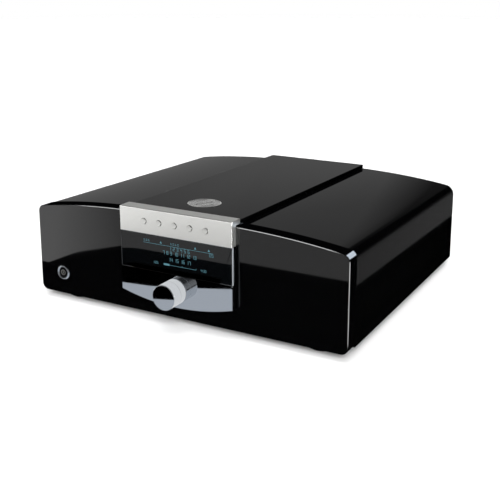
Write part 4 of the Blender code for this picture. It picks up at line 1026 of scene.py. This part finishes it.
def far_floor_card():
    """The pale floor as gloss sees it, with a dark island around the case: brighter towards the left."""
    island = np.array([(-316, -60), (-308, -168), (-254, -248), (300, -252), (300, 900), (-316, 900)], float)
    hole = rounded(island + (0, ORIGIN[1]), [20, 50, 48, 2, 60, 60], steps=12)
    angle = np.arctan2(hole[:, 1], hole[:, 0])
    outer = 7000 * np.stack([np.cos(angle), np.sin(angle)], 1)
    made = floor_sheet("far_floor_card", outer, 0.5, hole)
    glow = glowing("far_floor_glow", 0xFFFFFF, 1.0)
    tree = glow.node_tree
    place = add(tree, "ShaderNodeTexCoord").outputs["Object"]
    aslant = add(tree, "ShaderNodeVectorMath", {0: place, 1: (0.766, -0.643, 0.0)}, operation="DOT_PRODUCT")
    power = add(tree, "ShaderNodeMapRange", {
        "Value": aslant.outputs["Value"], "From Min": -0.045, "From Max": 0.065,
        "To Min": 1.55, "To Max": 0.68})
    across = add(tree, "ShaderNodeSeparateXYZ", {"Vector": place})
    right = add(tree, "ShaderNodeMapRange", {
        "Value": across.outputs["X"], "From Min": 0.24, "From Max": 0.29, "To Min": 1.0, "To Max": 0.0})
    both = add(tree, "ShaderNodeMath", {0: power.outputs["Result"], 1: right.outputs["Result"]}, operation="MULTIPLY")
    tree.links.new(both.outputs["Value"], tree.nodes["Emission"].inputs["Strength"])
    made.data.materials.append(glow)
    only_reflected(made)


def floor_patch(name, outline, level, colour, strength, names):
    """A glowing patch of floor that only some pieces mirror."""
    made = floor_sheet(name, np.array(outline, float) + (0, ORIGIN[1]), level)
    made.data.materials.append(glowing(f"{name}_glow", colour, strength))
    only_reflected(made)
    seen_only_by(made, names)


def floor_patches():
    """The floor beside the case as the case side sees it, and the strips in front that the metal and
    the cut edges see."""
    line = [(-700, -100), (-158, -110), (-115, -116), (-55, -139), (-13, -158), (60, -190), (230, -260)]
    floor_patch("near_floor", [(230, 0), (-700, 0)] + line, 1.0, 0xE8EEF6, 0.6,
                ["chrome_smile", "chrome_knob", "power_bezel", "satin_rail"])
    floor_patch("edge_floor", [(235, -15), (900, -15), (900, -500), (235, -500)], 1.5, 0xFFFFFF, 0.75,
                ["front_panel_slab", "chrome_smile", "smoked_window", "satin_rail"])
    side = [(317, -12), (3000, -12), (3000, 4000), (302, 4000), (303, 700), (317, 230)]
    floor_patch("side_floor", side, 2.0, 0xFFFFFF, 0.12, ["case_cover"])


def card(name, points, glow, names):
    """A flat four-cornered card in the frame's millimetres that only some pieces mirror."""
    made = staged(name, (np.array(points, float) * MM).tolist(), [(0, 1, 2, 3)])
    made.data.materials.append(glow)
    only_reflected(made)
    seen_only_by(made, names)


def slab_cards():
    """What the slab's rounded corner and its cut edge see: a cool window behind, and a soft one above."""
    behind = [(300, 2500, 360), (2000, 2500, 360), (2000, 2500, 1700), (300, 2500, 1700)]
    card("cool_window", behind, glowing("cool_window_glow", 0xD6E1EE, 7.5), ["front_panel_slab"])
    above = [(-2600, -1500, 2500), (-300, -1500, 2500), (-300, -100, 2500), (-2600, -100, 2500)]
    card("edge_window", above, glowing("edge_window_glow", 0xFFFFFF, 0.8), ["front_panel_slab"])


def knob_card():
    """A pale sheet just in front of the fascia, lit on the side that faces the knob and clear from behind,
    which only the knob's side mirrors."""
    glow = glowing("knob_card_glow", 0xF4F6F8, 0.78)
    tree = glow.node_tree
    behind = add(tree, "ShaderNodeNewGeometry").outputs["Backfacing"]
    clear = add(tree, "ShaderNodeBsdfTransparent")
    both = add(tree, "ShaderNodeMixShader", {
        "Fac": behind, 1: tree.nodes["Emission"].outputs["Emission"], 2: clear.outputs["BSDF"]})
    tree.links.new(both.outputs["Shader"], tree.nodes["Material Output"].inputs["Surface"])
    corners = np.array([(-70, -10, -20), (70, -10, -20), (70, -10, 84), (-70, -10, 84)]) + ORIGIN
    card("knob_card", corners, glow, ["chrome_knob"])


def ring_wall(name, radius, height):
    """A drum without ends, standing on the floor, in metres."""
    sides = 64
    turn = np.linspace(0, 2 * math.pi, sides, endpoint=False)
    points = [(radius * math.cos(a), radius * math.sin(a), z) for z in (0.0, height) for a in turn]
    faces = [(i, (i + 1) % sides, sides + (i + 1) % sides, sides + i) for i in range(sides)]
    return staged(name, points, faces)


def backdrop():
    """A white wall near the floor's edge that only the camera sees, so the floor has no horizon."""
    made = ring_wall("backdrop", 8.8, 7.0)
    made.data.materials.append(glowing("backdrop_white", 0xFFFFFF, 1.0))
    made.visible_diffuse = made.visible_glossy = made.visible_transmission = made.visible_shadow = False


def round_wall():
    """A wall all round, three metres off, that only gloss mirrors: grey at the foot and dark higher up,
    at full strength on the left and in front, and dim behind from left of the middle to the right."""
    tall = 3.2
    made = ring_wall("round_wall", 3.0, tall)
    glow = glowing("wall_glow", 0xFFFFFF, 1.0)
    tree = glow.node_tree
    place = add(tree, "ShaderNodeTexCoord").outputs["Object"]
    height = add(tree, "ShaderNodeSeparateXYZ", {"Vector": place})
    share = add(tree, "ShaderNodeMapRange", {"Value": height.outputs["Z"], "From Max": tall})
    fade = add(tree, "ShaderNodeValToRGB", {"Fac": share.outputs["Result"]})
    for spot, level in ((0.0, 0.22), (0.23, 0.19), (0.27, 0.175), (0.32, 0.158), (0.4, 0.165), (0.46, 0.15),
                        (0.56, 0.03), (1.0, 0.03)):
        stop = fade.color_ramp.elements.new(spot) if 0 < spot < 1 else fade.color_ramp.elements[-int(spot)]
        stop.color = (level, level, level, 1)
    tree.links.new(fade.outputs["Color"], tree.nodes["Emission"].inputs["Color"])
    left = add(tree, "ShaderNodeMapRange", {
        "Value": height.outputs["X"], "From Min": -0.75, "From Max": -0.42, "To Min": 1.0, "To Max": 0.16})
    front = add(tree, "ShaderNodeMapRange", {
        "Value": height.outputs["Y"], "From Min": 1.0, "From Max": -1.0, "To Min": 0.0, "To Max": 1.0})
    most = add(tree, "ShaderNodeMath", {0: left.outputs["Result"], 1: front.outputs["Result"]}, operation="MAXIMUM")
    tree.links.new(most.outputs["Value"], tree.nodes["Emission"].inputs["Strength"])
    made.data.materials.append(glow)
    only_reflected(made)
    seen_only_by(made, lacquered())


def area_light(name, place, aim, size, power, seen_by=()):
    """A white rectangular lamp in millimetres, aimed at a point, that the camera doesn't see."""
    light = bpy.data.lights.new(name, "AREA")
    light.shape = "RECTANGLE"
    light.size, light.size_y = (edge * MM for edge in size)
    light.energy = power
    made = bpy.data.objects.new(name, light)
    made.location = Vector(place) * MM
    made.rotation_euler = (Vector(aim) - Vector(place)).to_track_quat("-Z", "Y").to_euler()
    bpy.context.collection.objects.link(made)
    made.visible_camera = False
    if seen_by:
        seen_only_by(made, seen_by)
    return made


def floor_sun(name, heading, height, spread_by, strength):
    """Soft far light that only the floor receives, for the shadow round the feet."""
    light = bpy.data.lights.new(name, "SUN")
    light.energy = strength
    light.angle = math.radians(spread_by)
    made = bpy.data.objects.new(name, light)
    turn, tip = math.radians(heading), math.radians(height)
    towards = Vector((math.sin(turn) * math.cos(tip), -math.cos(turn) * math.cos(tip), math.sin(tip)))
    made.rotation_euler = towards.to_track_quat("Z", "Y").to_euler()
    bpy.context.collection.objects.link(made)
    seen_only_by(made, ["floor"])


def studio():
    """The room: what gloss mirrors first, then the lamps, the suns on the floor and the even air."""
    round_wall()
    backdrop()
    floor()
    far_floor_card()
    floor_patches()
    slab_cards()
    knob_card()
    satin = ["satin_rail", "lid_emblem", *[f"{name}_cap" for name in BUTTONS]]
    soft = area_light("overhead", (0, 0, 1500), (0, 0, 0), (1600, 1600), 12)
    soft.visible_glossy = False
    area_light("rail_front", (-700, -1400, 300), (0, -190, 120), (1200, 700), 7, seen_by=satin)
    area_light("emblem_glow", (-600, 1600, 620), (0, -90, 135), (1200, 500), 0.9, seen_by=["lid_emblem"])
    area_light("rail_above", (-700, 1500, 900), (0, -190, 130), (1600, 700), 1.7, seen_by=satin)
    area_light("rail_end", (1300, -500, 250), (80, -190, 80), (500, 500), 70,
               seen_by=["satin_rail", "chrome_smile", "smoked_window"])
    floor_sun("floor_front", 29, 31, 34, 4.2)
    floor_sun("floor_above", 0, 80, 30, 0.55)
    world = bpy.data.worlds.new("studio_air")
    world.use_nodes = True
    air = world.node_tree.nodes["Background"]
    air.inputs["Color"].default_value = linear(0xFFFFFF)
    air.inputs["Strength"].default_value = 0.25
    world.cycles_visibility.glossy = False
    bpy.context.scene.world = world
    bpy.context.scene.view_settings.view_transform = "Standard"


def camera():
    """A long-lens view from the front right, a little above the case."""
    turn, tip = math.radians(29.10), math.radians(12.87)
    back = Vector((math.sin(turn) * math.cos(tip), -math.cos(turn) * math.cos(tip), math.sin(tip)))
    held = bpy.data.cameras.new("camera")
    held.sensor_width = 36
    held.lens = 61.56
    held.shift_y = -0.15
    made = bpy.data.objects.new("camera", held)
    made.location = (Vector((562.0, -830.7, 409.7)) + Vector(ORIGIN)) * MM
    made.rotation_euler = back.to_track_quat("Z", "Y").to_euler()
    bpy.context.collection.objects.link(made)
    bpy.context.scene.camera = made


camera()
finish_cad_nodes()
front_slab()
case_cover()
lid_strip()
feet()
fascia_back()
dark_glass()
chrome_smile()
rail()
rail_buttons()
knob()
power_control()
display_graphics()
phono_sockets()
balanced_sockets()
rear_screws()
studio()
